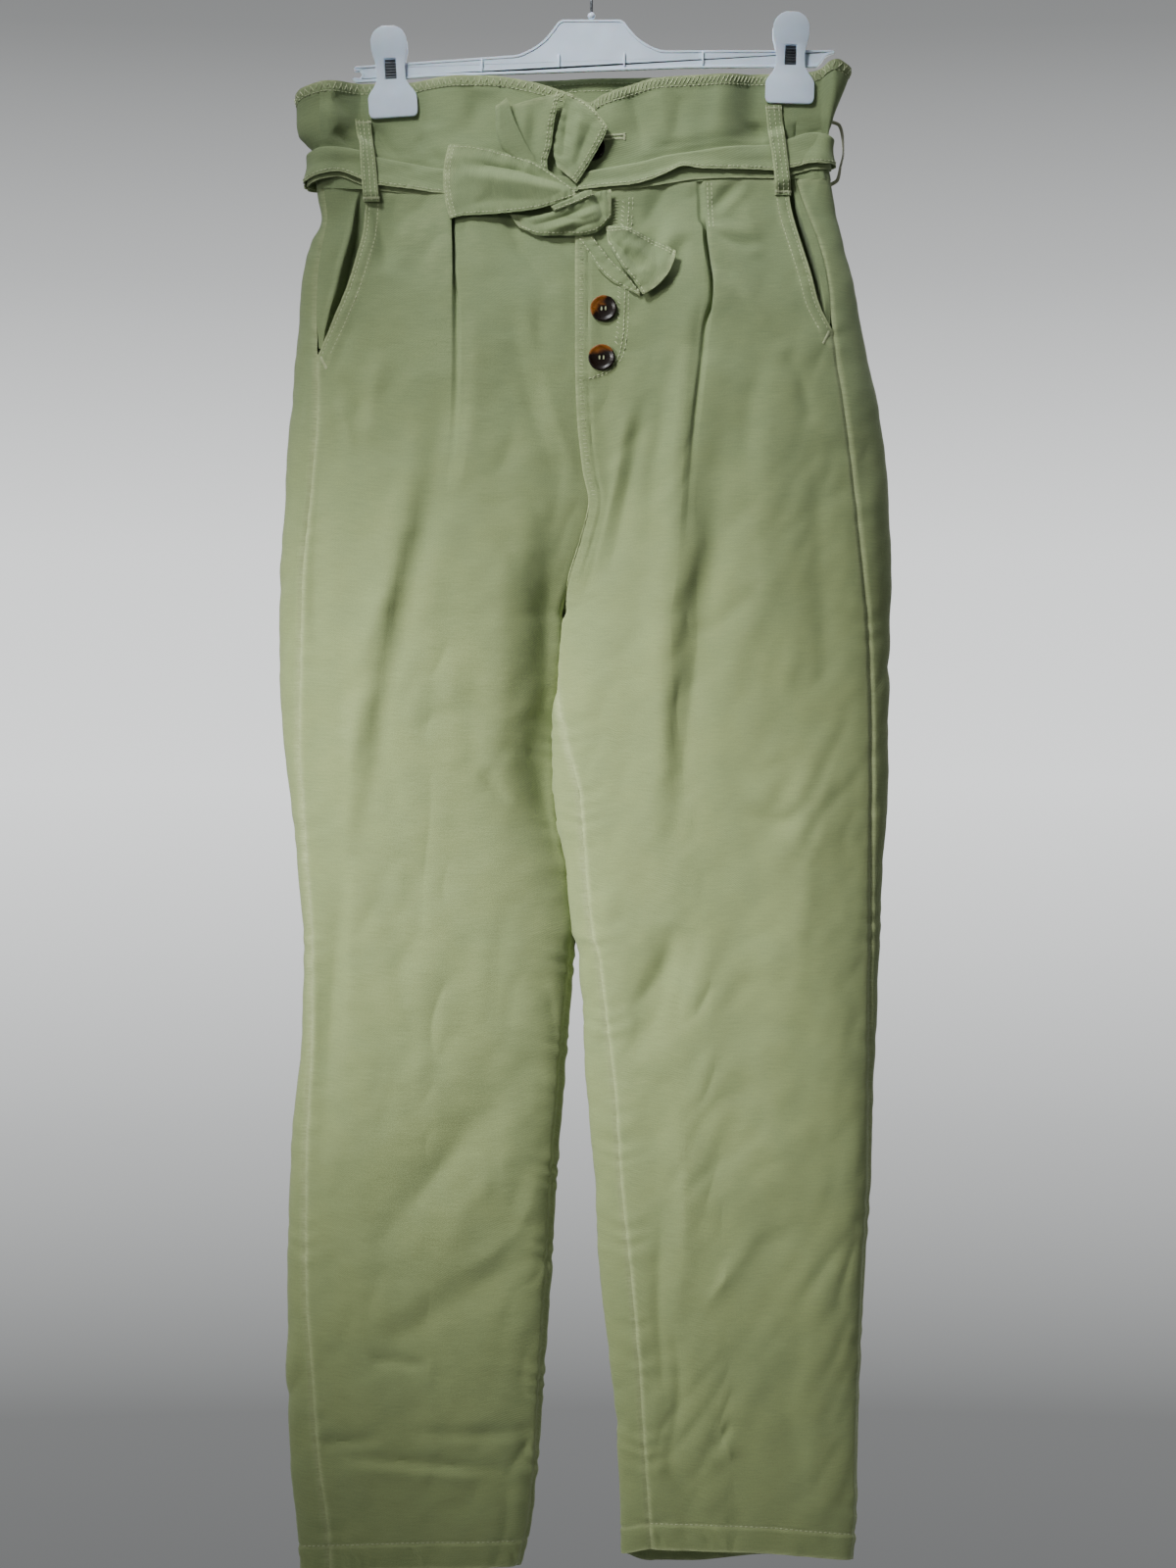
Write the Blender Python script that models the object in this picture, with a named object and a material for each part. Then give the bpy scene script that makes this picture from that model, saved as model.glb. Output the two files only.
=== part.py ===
"""Paperbag waist trousers hanging from a clip hanger.

Metres, +Z up, front towards -Y. The origin is the inside top of the hanger's hook, where it lies
on a rail. Sides are the wearer's: "right" is -X. Tables and sizes are in millimetres, and "drop"
is the distance below the origin.
"""
import math

import bpy
import numpy as np

MM = 0.001

# ------------------------------------------------------------------ driving sizes (mm)
CLOTH = 1.6  # wall of the leg panels
BAND = 2.0  # wall of the doubled waistband
SASH = 2.0  # tie belt, folded flat
SASH_LIFT = 1.7
SEAM_GAP = 0.3  # clearance between pieces at a seam
REST_GAP = 0.8  # clearance between a piece and the one it lies on
WAIST_DROP = 184.0  # about where the waist seam and the hems lie; the tables say it exactly
HEM_DROP = 1130.0
CROTCH_DROP = 481.0
FLY_DROP = 320.0  # foot of the fly opening
ROUNDNESS = 2.3  # exponent of the cross-sections
CLIP_HALF_CLOTH = 2.4  # half of the cloth's thickness in the clips
FACING_DEPTH = 2.2  # pocket facing below the front panel's face
FACING_LAP = 22.0  # how far the facing runs on behind the front panel
POCKET_GAPE = 5.0
LOOP_WIDTH = 11.0
LOOP_WALL = 1.4
LOOP_LIFT = 1.2
BUTTON_RADIUS = 9.0
BUTTON_THICKNESS = 3.2
BUTTON_LIFT = 0.5
HOOK_RADIUS = 21.0  # to the wire's centre line
HOOK_WIRE = 2.0  # wire diameter
BAR_DEPTH = 4.4
JAW_WALL = 2.6

COLOURS = {
    "cloth": (0.29, 0.34, 0.19, 1.0),
    "button": (0.05, 0.03, 0.02, 1.0),
    "hanger": (0.62, 0.65, 0.70, 1.0),
    "steel": (0.35, 0.36, 0.38, 1.0),
}
ROUGHNESS = {"cloth": 0.9, "button": 0.2, "hanger": 0.45, "steel": 0.35}


def table(columns, *rows):
    """One array for each named column."""
    return {name: np.array(values, float) for name, values in zip(columns, zip(*rows))}


# One row for each height: X of the side fold, of the outseam, of the centre seam (or, below the
# crotch, of the leg's inner fold) and of the inseam.
OUTLINE_COLUMNS = ("drop", "fold", "outseam", "inner", "inseam")
OUTLINE = {
    "right": table(
        OUTLINE_COLUMNS,
        (95, -202, -184, 0, 0),
        (121, -202, -184, 1.5, 1.5),
        (138, -202, -184, -1, -1),
        (148, -200, -183, -3, -3),
        (160, -191, -182, -5, -5),
        (178, -188, -182, -7, -7),
        (190, -186, -181, -7, -7),
        (204, -183, -179.5, -7, -7),
        (222, -191, -182, -7, -7),
        (242, -196, -185, -7, -7),
        (269, -198, -186, -7, -7),
        (303, -202, -185, -7, -7),
        (340, -205, -185, -6, -6),
        (380, -208, -188, -2, -2),
        (401, -209, -190, 2, 2),
        (425, -211, -192.5, -3, -3),
        (452, -212, -195, -11, -11),
        (481, -212, -196, -17, -17),
        (522, -212, -197, -19, -19),
        (566, -209, -198, -23, -23),
        (610, -204.5, -195.5, -21.5, -21.5),
        (654, -200, -193, -13.5, -14),
        (700, -196, -190, -9, -11),
        (760, -197, -190, -13, -16),
        (810, -201, -192, -17, -20),
        (860, -205, -194, -21, -24),
        (930, -207, -194, -25, -28),
        (995, -207, -190, -29.5, -32),
        (1060, -205, -185, -34, -36),
        (1104, -201, -179, -39, -41),
        (1136, -198, -177, -48, -50),
    ),
    "left": table(
        OUTLINE_COLUMNS,
        (95, 183, 152, 0, 0),
        (105, 179.5, 150, 1, 1),
        (121, 173.5, 147, 1.5, 1.5),
        (134, 169.5, 144, 0, 0),
        (148, 167, 143, -3, -3),
        (160, 166, 143, -5, -5),
        (178, 167, 143, -7, -7),
        (190, 169, 146, -7, -7),
        (204, 171, 151, -7, -7),
        (220, 175, 157, -7, -7),
        (239, 181, 162, -7, -7),
        (259, 185, 165, -7, -7),
        (285, 189.5, 167, -7, -7),
        (303, 193, 169.5, -7, -7),
        (340, 201, 175, -6, -6),
        (380, 205, 180, -2, -2),
        (401, 207, 182.5, 2, 2),
        (425, 208, 185, -3, -3),
        (452, 209, 188, -11, -11),
        (481, 208, 191, -17, -17),
        (522, 207, 193, -17.5, -17.5),
        (558, 207, 194, -21, -13),
        (601, 207, 194, -20, -3.5),
        (647, 203, 194, -12, 0.5),
        (690, 201.5, 194, -7, 4.5),
        (747, 199, 193.5, -4, 11),
        (806, 196.5, 193.5, -1, 18),
        (865, 195, 193, 4.5, 22),
        (931, 191, 189.5, 8, 29),
        (999, 188, 187, 16, 35),
        (1048, 186.5, 185.5, 21, 38),
        (1090, 186, 185, 22, 41),
        (1131, 183, 182, 23, 44),
    ),
}

# Depth of the sections: front and back halves, the middle's share of it, and the centre's.
DEPTH = table(
    ("drop", "front", "back", "middle", "centre"),
    (95, 20, 18, 0.66, 0.92),
    (150, 20, 18, 0.66, 0.92),
    (188, 21, 19, 0.74, 0.92),
    (222, 26, 25, 0.9, 0.9),
    (269, 33, 34, 1, 0.88),
    (337, 38, 41, 1, 0.84),
    (400, 40, 44, 1, 0.7),
    (440, 40, 44, 1, 0.5),
    (465, 39, 43, 1, 0.25),
    (481, 38, 42, 1, 0),
    (560, 35, 38, 1, 0),
    (650, 32, 34, 1, 0),
    (800, 28, 28, 1, 0),
    (930, 24, 24, 1, 0),
    (1060, 18, 18, 1, 0),
    (1136, 13, 14, 1, 0),
)

# Where each clip presses front and back together, and how that fades down the cloth.
CLIP_X = {"right": -134.0, "left": 138.7}
OUTER_FADE = {"right": 2.0, "left": 1.0}  # the left side is rolled into a narrow tube
PINCH = table(
    ("drop", "strength", "half_width", "outer_fade", "inner_fade"),
    (95, 1, 21, 11, 26),
    (143, 1, 21, 12, 34),
    (165, 0.72, 9, 22, 50),
    (190, 0.45, 3, 30, 65),
    (240, 0.2, 0, 40, 80),
    (320, 0, 0, 50, 90),
)

# Edges that run across the garment: drop against X.
BAND_TOP = table(
    ("x", "drop"),
    (-204, 122),
    (-197, 116),
    (-179, 112),
    (-150, 112),
    (-126, 111.5),
    (-101, 108),
    (-67, 108.5),
    (-40, 112.5),
    (-17, 119),
    (1, 126.5),
    (10, 121.5),
    (27, 115.5),
    (47, 110),
    (95, 107),
    (140, 104.5),
    (154, 103.5),
    (161, 101),
    (166, 97.5),
    (171, 96.5),
    (177, 99),
    (184, 103),
)
BAND_TOP_BACK = table(
    ("x", "drop"),
    (-204, 122),
    (-185, 114),
    (-150, 112),
    (-110, 110),
    (-60, 108),
    (0, 106),
    (60, 104.5),
    (140, 104.5),
    (154, 103.5),
    (161, 101),
    (168, 98),
    (184, 103),
)
WAIST = table(
    ("x", "drop"), (-202, 184), (-100, 187.5), (0, 187), (50, 183), (100, 180), (140, 178), (180, 178)
)
HEM = {
    ("right", "front"): table(("x", "drop"), (-200, 1135), (-120, 1131), (-48, 1131)),
    ("right", "back"): table(("x", "drop"), (-200, 1135), (-120, 1135), (-48, 1131)),
    ("left", "front"): table(("x", "drop"), (23, 1123), (44, 1118.5), (107, 1119.5), (183, 1127)),
    ("left", "back"): table(("x", "drop"), (23, 1123), (40, 1130), (74, 1131), (122, 1127), (183, 1127)),
}
POCKET_EDGE = {
    "right": table(
        ("drop", "x"),
        (180, -151.5),
        (215, -153.5),
        (235, -158),
        (254, -163.5),
        (277, -172.5),
        (303, -185),
    ),
    "left": table(
        ("drop", "x"),
        (175, 136),
        (201, 139),
        (225, 145.5),
        (245, 151.5),
        (266, 157),
        (286, 167),
    ),
}
PLEAT = {
    "right": table(("drop", "x"), (180, -95), (250, -93), (300, -93), (392, -97), (520, -108), (1136, -122)),
    "left": table(("drop", "x"), (175, 80.5), (220, 82), (256, 86), (290, 83), (400, 74), (1131, 104)),
}
PLEAT_SHAPE = table(("drop", "height"), (175, 2.2), (240, 3.4), (300, 2.6), (390, 0), (1136, 0))

# Long soft folds of the fronts: three points down each, its half width and its height (or depth).
FOLDS = table(
    ("x_1", "drop_1", "x_2", "drop_2", "x_3", "drop_3", "half_width", "height"),
    (-112, 350, -136, 492, -160, 640, 17, 4.5),
    (-104, 390, -128, 492, -150, 620, 10, -3.5),
    (-181, 360, -186, 440, -185, 520, 9, -3),
    (-22, 370, -30, 510, -34, 650, 13, -3.5),
    (78, 300, 62, 400, 47, 640, 15, 4.5),
    (92, 390, 74, 500, 58, 640, 10, -4),
    (56, 690, 50, 740, 30, 780, 14, -3),
    (-166, 660, -176, 760, -178, 850, 13, -2.5),
    (-24, 768, -97, 851, -146, 915, 12, -3),
    (-32, 915, -95, 950, -150, 985, 11, -3),
    (118, 890, 92, 930, 78, 955, 12, 3),
    (-132, 192, -134, 212, -140, 245, 9, -2.5),
    (54, 195, 44, 225, 38, 245, 8, -3),
)
# The same kind of folds on the backs.
BACK_FOLDS = table(
    ("x_1", "drop_1", "x_2", "drop_2", "x_3", "drop_3", "half_width", "height"),
    (-60, 215, -52, 320, -48, 400, 13, -3),
    (58, 210, 50, 310, 44, 400, 13, -3),
    (-110, 470, -128, 620, -150, 760, 18, 4),
    (100, 480, 96, 640, 88, 800, 18, 4),
    (-30, 640, -80, 760, -140, 840, 14, -3),
    (150, 700, 110, 820, 60, 900, 14, -3),
)

# Tie belt: its top and bottom edges against X.
SASH_FRONT = {
    "right": table(
        ("x", "top", "bottom"),
        (-192, 160, 184),
        (-181, 157, 179),
        (-171, 157.5, 177.5),
        (-158, 160, 182),
        (-146, 164, 186.5),
        (-121, 169, 189.5),
        (-100, 173, 192),
        (-50, 176, 192),
        (-6, 179, 191),
    ),
    "left": table(
        ("x", "top", "bottom"),
        (-7, 177, 190),
        (5, 174, 188),
        (34, 169, 186),
        (54, 164, 183),
        (74, 161, 180),
        (95, 158, 179),
        (126, 155, 178.5),
        (140, 150, 175.5),
        (155, 146, 172),
        (162, 147, 171.5),
        (170, 152, 171),
    ),
}
SASH_BACK = table(("x", "top", "bottom"), (-192, 160, 184), (-120, 158, 182), (0, 157, 181), (170, 152, 171))

# Bow: each row crosses the ribbon from edge a to edge b. "lift" is the height of the ribbon's
# back above the front's surface, "swell" how far the middle stands out, "bow" how far the row's
# middle is pushed sideways.
RIBBON_COLUMNS = ("x_a", "drop_a", "lift_a", "x_b", "drop_b", "lift_b", "swell", "bow")
RIBBONS = {
    "sash_tail_side": table(
        RIBBON_COLUMNS,
        (-95, 156, 4.6, -94, 208, 4.0, 1.0, -4.5),
        (-81, 157, 5.0, -84, 206, 4.5, 1.5, -2),
        (-67, 160, 5.6, -67, 205.5, 5.2, 2.0, 0),
        (-54, 163.5, 6.6, -54, 204.5, 6.6, 2.0, 0),
        (-40, 168, 8.2, -37, 202.5, 8.0, 1.5, 0),
        (-27, 175.5, 9.4, -25, 199.5, 9.4, 1.0, 0),
        (-17, 183, 10.4, -14, 196, 10.4, 0.5, 0),
        (-9, 190, 10.8, -8, 194, 10.8, 0, 0),
    ),
    "sash_ear": table(
        RIBBON_COLUMNS,
        (-63, 130, 5.2, -18, 122, 7.4, 1.5, 0),
        (-62.5, 144, 4.9, -23, 141, 7.0, 1.5, 0),
        (-59, 158, 4.4, -25, 157, 6.2, 0.8, 0),
        (-45, 168, 4.2, -28, 169, 5.2, 0.3, 0),
        (-34, 176, 4.0, -26, 179, 4.6, 0, 0),
    ),
    "sash_ear_edge": table(
        RIBBON_COLUMNS,
        (-62, 133, 8.6, -56, 129, 10.6, 0, 0),
        (-62, 145, 8.4, -50.5, 144, 10.2, 0, 0),
        (-59, 157, 7.6, -43, 157, 8.6, 0, 0),
        (-55, 163, 7.4, -40, 164, 8.0, 0, 0),
    ),
    "sash_tail_up": table(
        RIBBON_COLUMNS,
        (-21, 172, 4.3, -8, 183.5, 4.6, 0, 0),
        (-24, 159, 4.2, -1, 173, 5.0, 0.5, 0),
        (-21, 146, 4.6, 5, 163, 6.0, 1.0, 0),
        (-18, 134, 4.8, 10, 154, 7.0, 1.0, 0),
        (-14, 121, 4.6, 13.5, 146, 7.5, 0, 3.5),
    ),
    "sash_knot": table(
        RIBBON_COLUMNS,
        (-54, 204, 0.8, -47, 214, 0.8, 0.5, 0),
        (-37, 206.5, 3.2, -32, 220, 2.2, 1.5, 0),
        (-26, 204.5, 4.5, -20, 220, 3.6, 3.0, 0),
        (-13.5, 201, 7.4, -7, 220, 4.6, 4.0, 0),
        (-1, 195, 8.6, 4, 218.5, 5.0, 4.0, 0),
        (8, 190, 7.0, 11.5, 212.5, 4.6, 3.0, 0),
        (15.5, 188, 4.8, 15.5, 207, 4.2, 1.0, 0),
    ),
    "sash_strand": table(
        RIBBON_COLUMNS,
        (-25, 200.8, 10.6, -23, 204, 10.4, 0, 0),
        (-13.5, 196.5, 13.0, -11, 199.6, 12.8, 0.3, 0),
        (-2, 190.5, 13.2, 1, 194, 13.0, 0.3, 0),
        (2.5, 190, 12.6, 3.5, 193, 12.4, 0, 0),
    ),
    "sash_loop_low": table(
        RIBBON_COLUMNS,
        (12, 212.9, 6.6, 14, 226, 6.6, 0.5, 0),
        (27, 215.5, 7.2, 18, 234, 7.0, 1.5, 0),
        (40, 221, 6.0, 24, 244, 6.2, 2.0, 0),
        (51, 226, 5.0, 31, 252.5, 5.4, 1.5, 1.5),
        (60, 231.5, 4.4, 37, 262, 5.0, 0.5, 5),
    ),
    "sash_loop_back": table(
        RIBBON_COLUMNS,
        (3, 220.5, 2.0, -7, 221.5, 2.0, 0.5, 0),
        (9, 228, 1.1, 0, 232, 1.1, 0.8, 0),
        (15, 236, 0.9, 8, 244, 0.9, 0.8, 0),
        (23, 244, 0.9, 17, 252.5, 0.9, 0.8, 0),
        (30, 252, 0.9, 27, 258, 0.9, 0.5, 0),
        (35, 259, 0.9, 35, 262, 0.9, 0, 0),
    ),
}

LOOPS = {
    # name: (side, X at its head, X at its foot, drop of its head and foot, on the back)
    "loop_front_right": ("right", -155.0, -148.0, 140.0, 195.5, False),
    "loop_front_left": ("left", 127.5, 133.5, 130.0, 190.5, False),
    "loop_back_right": ("right", -88.0, -88.0, 140.0, 195.0, True),
    "loop_back_centre": ("right", -9.0, -13.0, 138.0, 194.0, True),
    "loop_back_left": ("left", 82.0, 82.0, 137.0, 193.0, True),
}

BUTTONS = {
    # name: (X, drop)
    "button_waist": (2.7, 158.0),
    "button_1": (10.7, 271.0),
    "button_2": (9.4, 304.5),
}

# Hanger, in its own plane.
HANGER_OUTLINE = (
    (-19.6, 67.5),
    (24.3, 67.5),
    (27.7, 73),
    (34.4, 80.3),
    (42, 85.2),
    (50, 88.6),
    (128, 87.8),
    (168.8, 88.4),
    (169.6, 90.4),
    (166, 91.4),
    (163, 93.4),
    (161, 96.6),
    (157.5, 100),
    (128, 100.5),
    (67, 100.6),
    (34, 101.8),
    (-13.5, 103.5),
    (-60, 104.2),
    (-112, 106.8),
    (-147, 110),
    (-160, 110.6),
    (-162.6, 108.2),
    (-160.6, 107.4),
    (-157, 107.8),
    (-155.4, 105.4),
    (-157, 102.8),
    (-160.6, 103),
    (-161.6, 101.2),
    (-159.8, 99.6),
    (-125, 96.8),
    (-94.5, 94.6),
    (-48, 91.8),
    (-37, 86.6),
    (-29, 80.3),
    (-23, 72.5),
)
JAW = table(
    # distance from the top, half width, and how far that row stands forward of the grip
    ("along", "half_width", "forward"),
    (0, 4, 5),
    (1.5, 7.6, 4.7),
    (4.5, 10.6, 4.1),
    (9, 12.4, 3.2),
    (14, 12.4, 2.2),
    (21, 11, 0.8),
    (28, 9.9, 0),
    (35, 10, 0),
    (40, 12, 0),
    (44, 15, 0),
    (48, 16.8, 0),
    (58, 16.8, 0),
    (61, 15.6, 0),
    (62, 13.4, 0),
)
CLIPS = {
    # name: (X and drop of the jaw's top, lean in degrees)
    "right": (-137.6, 73.5, 3.8),
    "left": (140.0, 63.8, -1.4),
}
WINDOW_ALONG = (21.5, 35.5)
WINDOW_HALF = 4.0

TAPE = table(
    ("x", "drop", "y"),
    (169.6, 134, 7),
    (173.5, 138, 8),
    (176, 147, 8),
    (176.5, 157, 8),
    (174.5, 167, 8),
    (172.4, 176, 7.6),
    (170.4, 184, 7),
)


# ------------------------------------------------------------------ curves
def curve(rows, name, at, along="drop"):
    """Smooth curve through one column of a table, with no overshoot, and flat past its ends."""
    xs = rows[along]
    ys = rows[name]
    rise = np.diff(ys) / np.diff(xs)
    product = rise[:-1] * rise[1:]
    total = np.where(product > 0, rise[:-1] + rise[1:], 1.0)
    inner = np.where(product > 0, 2 * product / total, 0.0)
    slope = np.concatenate(([rise[0]], inner, [rise[-1]]))
    at = np.clip(at, xs[0], xs[-1])
    i = np.clip(np.searchsorted(xs, at) - 1, 0, len(xs) - 2)
    step = xs[i + 1] - xs[i]
    u = (at - xs[i]) / step
    start = (1 + 2 * u) * (1 - u) ** 2 * ys[i] + u * (1 - u) ** 2 * step * slope[i]
    end = u * u * (3 - 2 * u) * ys[i + 1] + u * u * (u - 1) * step * slope[i + 1]
    return start + end


def across(rows, x):
    """Drop of an edge that runs across the garment."""
    return curve(rows, "drop", x, along="x")


def ease(u):
    """0 to 1 with soft ends."""
    u = np.clip(u, 0.0, 1.0)
    return u * u * (3 - 2 * u)


def mix(a, b, u):
    return a + (b - a) * u


# ------------------------------------------------------------------ the garment's form
def fold_relief(folds, x, drop):
    """Height of all long folds at a point: a soft ridge or trough round each bent line."""
    relief = np.zeros(np.broadcast(x, drop).shape)
    for row in zip(*folds.values()):
        x_1, drop_1, x_2, drop_2, x_3, drop_3, half_width, height = row
        nearest = np.full(relief.shape, 1e9)
        where = np.zeros(relief.shape)
        steps = 8
        for k in range(steps):
            ends = []
            for u in (k / steps, (k + 1) / steps):
                w_1, w_2, w_3 = (1 - u) * (1 - 2 * u), 4 * u * (1 - u), u * (2 * u - 1)
                ends.append((w_1 * x_1 + w_2 * x_2 + w_3 * x_3, w_1 * drop_1 + w_2 * drop_2 + w_3 * drop_3))
            (ax, ad), (bx, bd) = ends
            length = (bx - ax) ** 2 + (bd - ad) ** 2
            u = np.clip(((x - ax) * (bx - ax) + (drop - ad) * (bd - ad)) / length, 0, 1)
            gap = np.hypot(x - ax - u * (bx - ax), drop - ad - u * (bd - ad))
            closer = gap < nearest
            nearest = np.where(closer, gap, nearest)
            where = np.where(closer, (k + u) / steps, where)
        taper = np.sin(np.pi * np.clip(where, 0, 1)) ** 0.7
        relief = relief + height * taper * np.exp(-((nearest / half_width) ** 2))
    return relief


def pleat_relief(side, x, drop):
    """Knife pleat: the cloth rises towards the fold edge and drops behind it."""
    inward = 1.0 if side == "right" else -1.0
    past = (x - curve(PLEAT[side], "x", drop)) * inward
    height = curve(PLEAT_SHAPE, "height", drop)
    rise = np.exp(-((past / 26.0) ** 2))
    fall = mix(1.0, -0.5, past / 2.5)
    rest = -0.5 * np.exp(-(((past - 2.5) / 14.0) ** 2))
    return height * np.where(past <= 0, rise, np.where(past < 2.5, fall, rest))


def pinch(side, x, drop):
    """1 where a clip presses the cloth flat, fading to 0 around and below it."""
    outward = -1.0 if side == "right" else 1.0
    off = (x - CLIP_X[side]) * outward
    beyond = np.maximum(np.abs(off) - curve(PINCH, "half_width", drop), 0)
    outer_fade = OUTER_FADE[side] * curve(PINCH, "outer_fade", drop)
    fade = np.where(off > 0, outer_fade, curve(PINCH, "inner_fade", drop))
    return curve(PINCH, "strength", drop) * (1 - ease(beyond / fade))


def ring_point(side, theta, drop, front=None):
    """Point on the cloth's outer face.

    theta is 0 at the side fold, pi/2 in the middle of the front, pi at the centre seam or the
    leg's inner fold, 3 pi/2 in the middle of the back, and runs on past 2 pi to the outseam.
    """
    theta, drop = np.broadcast_arrays(np.asarray(theta, float), np.asarray(drop, float))
    if front is None:
        front = np.mod(theta, 2 * np.pi) < np.pi
    fold = curve(OUTLINE[side], "fold", drop)
    inner = curve(OUTLINE[side], "inner", drop)
    xi = -np.cos(theta)
    x = 0.5 * (fold + inner) + 0.5 * (inner - fold) * xi
    centre = curve(DEPTH, "centre", drop) ** ROUNDNESS
    share = np.where(xi < 0, 1.0, 1.0 - centre)
    round_off = np.maximum(1 - share * np.abs(xi) ** ROUNDNESS, 0) ** (1 / ROUNDNESS)
    depth = np.where(front, curve(DEPTH, "front", drop), curve(DEPTH, "back", drop))
    depth = depth * mix(1.0, curve(DEPTH, "middle", drop), ease((xi + 0.5) / 0.6))
    pressed = pinch(side, x, drop)
    half = mix(depth * round_off, CLIP_HALF_CLOTH, pressed)
    folds_front = fold_relief(FOLDS, x, drop) + pleat_relief(side, x, drop)
    folds_back = fold_relief(BACK_FOLDS, x, drop)
    half = half + np.where(front, folds_front, folds_back) * (1 - pressed) * ease(round_off / 0.6)
    legs = ease((drop - CROTCH_DROP) / 60) * (1 - ease((drop - 690) / 90))
    sway = (5.0 if side == "right" else -5.0) * legs * np.maximum(xi, 0) ** 2
    y = np.where(front, -half, half) + sway
    return np.stack([x, y, -drop], axis=-1)


def ring_normal(side, theta, drop, piece):
    """Outward direction of the cloth's face, for a front or a back piece."""
    theta, drop = np.broadcast_arrays(np.asarray(theta, float), np.asarray(drop, float))
    clear = 0.08
    inside = np.minimum(theta, np.pi - clear) if piece == "front" else np.maximum(theta, np.pi + clear)
    theta = np.where(drop < CROTCH_DROP - 1, inside, theta)
    turn = 0.02
    around = ring_point(side, theta + turn, drop) - ring_point(side, theta - turn, drop)
    down = ring_point(side, theta, drop + 1.0) - ring_point(side, theta, drop - 1.0)
    normal = np.cross(around, down) if side == "left" else np.cross(down, around)
    return normal / np.linalg.norm(normal, axis=-1, keepdims=True)


def ring_angle(side, x, drop, back=False):
    """theta of the point at X on the front, or on the back."""
    fold = curve(OUTLINE[side], "fold", drop)
    inner = curve(OUTLINE[side], "inner", drop)
    xi = np.clip((x - 0.5 * (fold + inner)) / (0.5 * (inner - fold)), -1, 1)
    theta = np.arccos(-xi)
    return 2 * np.pi - theta if back else theta


def ring_x(side, theta, drop):
    fold = curve(OUTLINE[side], "fold", drop)
    inner = curve(OUTLINE[side], "inner", drop)
    return 0.5 * (fold + inner) - 0.5 * (inner - fold) * np.cos(theta)


def front_edge(side, drop):
    """X of the front panel's outer edge: the outseam, or the slanted pocket edge above its foot."""
    outseam = curve(OUTLINE[side], "outseam", drop)
    edge = POCKET_EDGE[side]
    slant = curve(edge, "x", drop)
    return np.where(drop < edge["drop"][-1], slant, outseam)


PLEAT_SHARE = 0.5  # the pleat line runs along the middle of the front panel's columns


def front_theta(side, share, drop):
    """theta across the front: share 0 at the outer edge, 1 at the centre seam or inseam."""
    outer = ring_angle(side, front_edge(side, drop), drop)
    pleat = ring_angle(side, curve(PLEAT[side], "x", drop), drop)
    inseam = np.where(drop < CROTCH_DROP, np.pi, ring_angle(side, curve(OUTLINE[side], "inseam", drop), drop))
    u = np.clip((share - PLEAT_SHARE) / (1 - PLEAT_SHARE), 0, 1)
    around = -np.cos(mix(pleat, inseam, u))
    straight = mix(-np.cos(pleat), -np.cos(inseam), u)
    xi = mix(around, straight, curve(DEPTH, "centre", drop))
    inner = np.arccos(np.clip(-xi, -1, 1))
    return np.where(share < PLEAT_SHARE, mix(outer, pleat, share / PLEAT_SHARE), inner)


def back_theta(side, share, drop):
    """theta across the back: share 0 at the centre seam or inseam, 1 at the outseam in front."""
    outseam = 2 * np.pi + ring_angle(side, curve(OUTLINE[side], "outseam", drop), drop)
    inseam = np.where(drop < CROTCH_DROP, np.pi, ring_angle(side, curve(OUTLINE[side], "inseam", drop), drop))
    theta = mix(inseam, outseam, share)
    straight = 1 - (theta - np.pi) / (np.pi / 2)
    xi = mix(-np.cos(theta), straight, curve(DEPTH, "centre", drop))
    inner = 2 * np.pi - np.arccos(np.clip(-xi, -1, 1))
    in_torso = (drop < CROTCH_DROP) & (theta < 1.5 * np.pi)
    return np.where(in_torso, inner, theta)


def band_knots(side, piece, end, drop):
    """theta that a band's or belt's columns pass through, and the columns up to each.

    They start at the centre, keep to both edges of the clip's flat, and end at the side fold or
    at the outseam.
    """
    outward = -1.0 if side == "right" else 1.0
    reach = outward * PINCH["half_width"][0]
    back = piece == "back"
    near = ring_angle(side, CLIP_X[side] - reach, drop, back)
    far = ring_angle(side, CLIP_X[side] + reach, drop, back)
    seam = ring_angle(side, curve(OUTLINE[side], "outseam", drop), drop)
    fold = np.zeros(np.shape(drop)) + (2 * np.pi if back else 0.0)
    knots = [(np.pi, 0), (near, 8), (far, 12)]
    if end == "fold":
        return knots + [(fold, 17)]
    if back and side == "left":
        flat = ring_angle(side, CLIP_X[side] + reach, drop)
        return knots + [(fold, 17), (flat + 2 * np.pi, 22), (seam + 2 * np.pi, 23)]
    if back:
        return knots + [(fold, 17), (seam + 2 * np.pi, 20)]
    if side == "left":
        return [(np.pi, 0), (near, 8), (seam, 12)]
    return knots + [(seam, 18)]


def band_theta(piece, end):
    """Function that gives theta for a column's number, counted from the centre."""

    def find(side, column, drop):
        knots = band_knots(side, piece, end, drop)
        near, first = knots[1]
        xi = mix(1.0, -np.cos(near), np.clip(column / first, 0, 1))
        theta = np.arccos(np.clip(-xi, -1, 1))
        theta = 2 * np.pi - theta if piece == "back" else theta
        for (start, low), (stop, high) in zip(knots[1:-1], knots[2:]):
            part = np.clip((column - low) / (high - low), 0, 1)
            theta = np.where(column > low, mix(start, stop, part), theta)
        return theta

    return find


def band_columns(side, piece, end):
    return np.arange(band_knots(side, piece, end, np.array(WAIST_DROP))[-1][1] + 1.0)


def faces_front(piece, theta):
    """Whether points of a piece lie on the front of the ring."""
    if piece == "front":
        return np.ones(np.shape(theta), bool)
    return (theta < np.pi - 1e-6) | (theta > 2 * np.pi)


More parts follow.
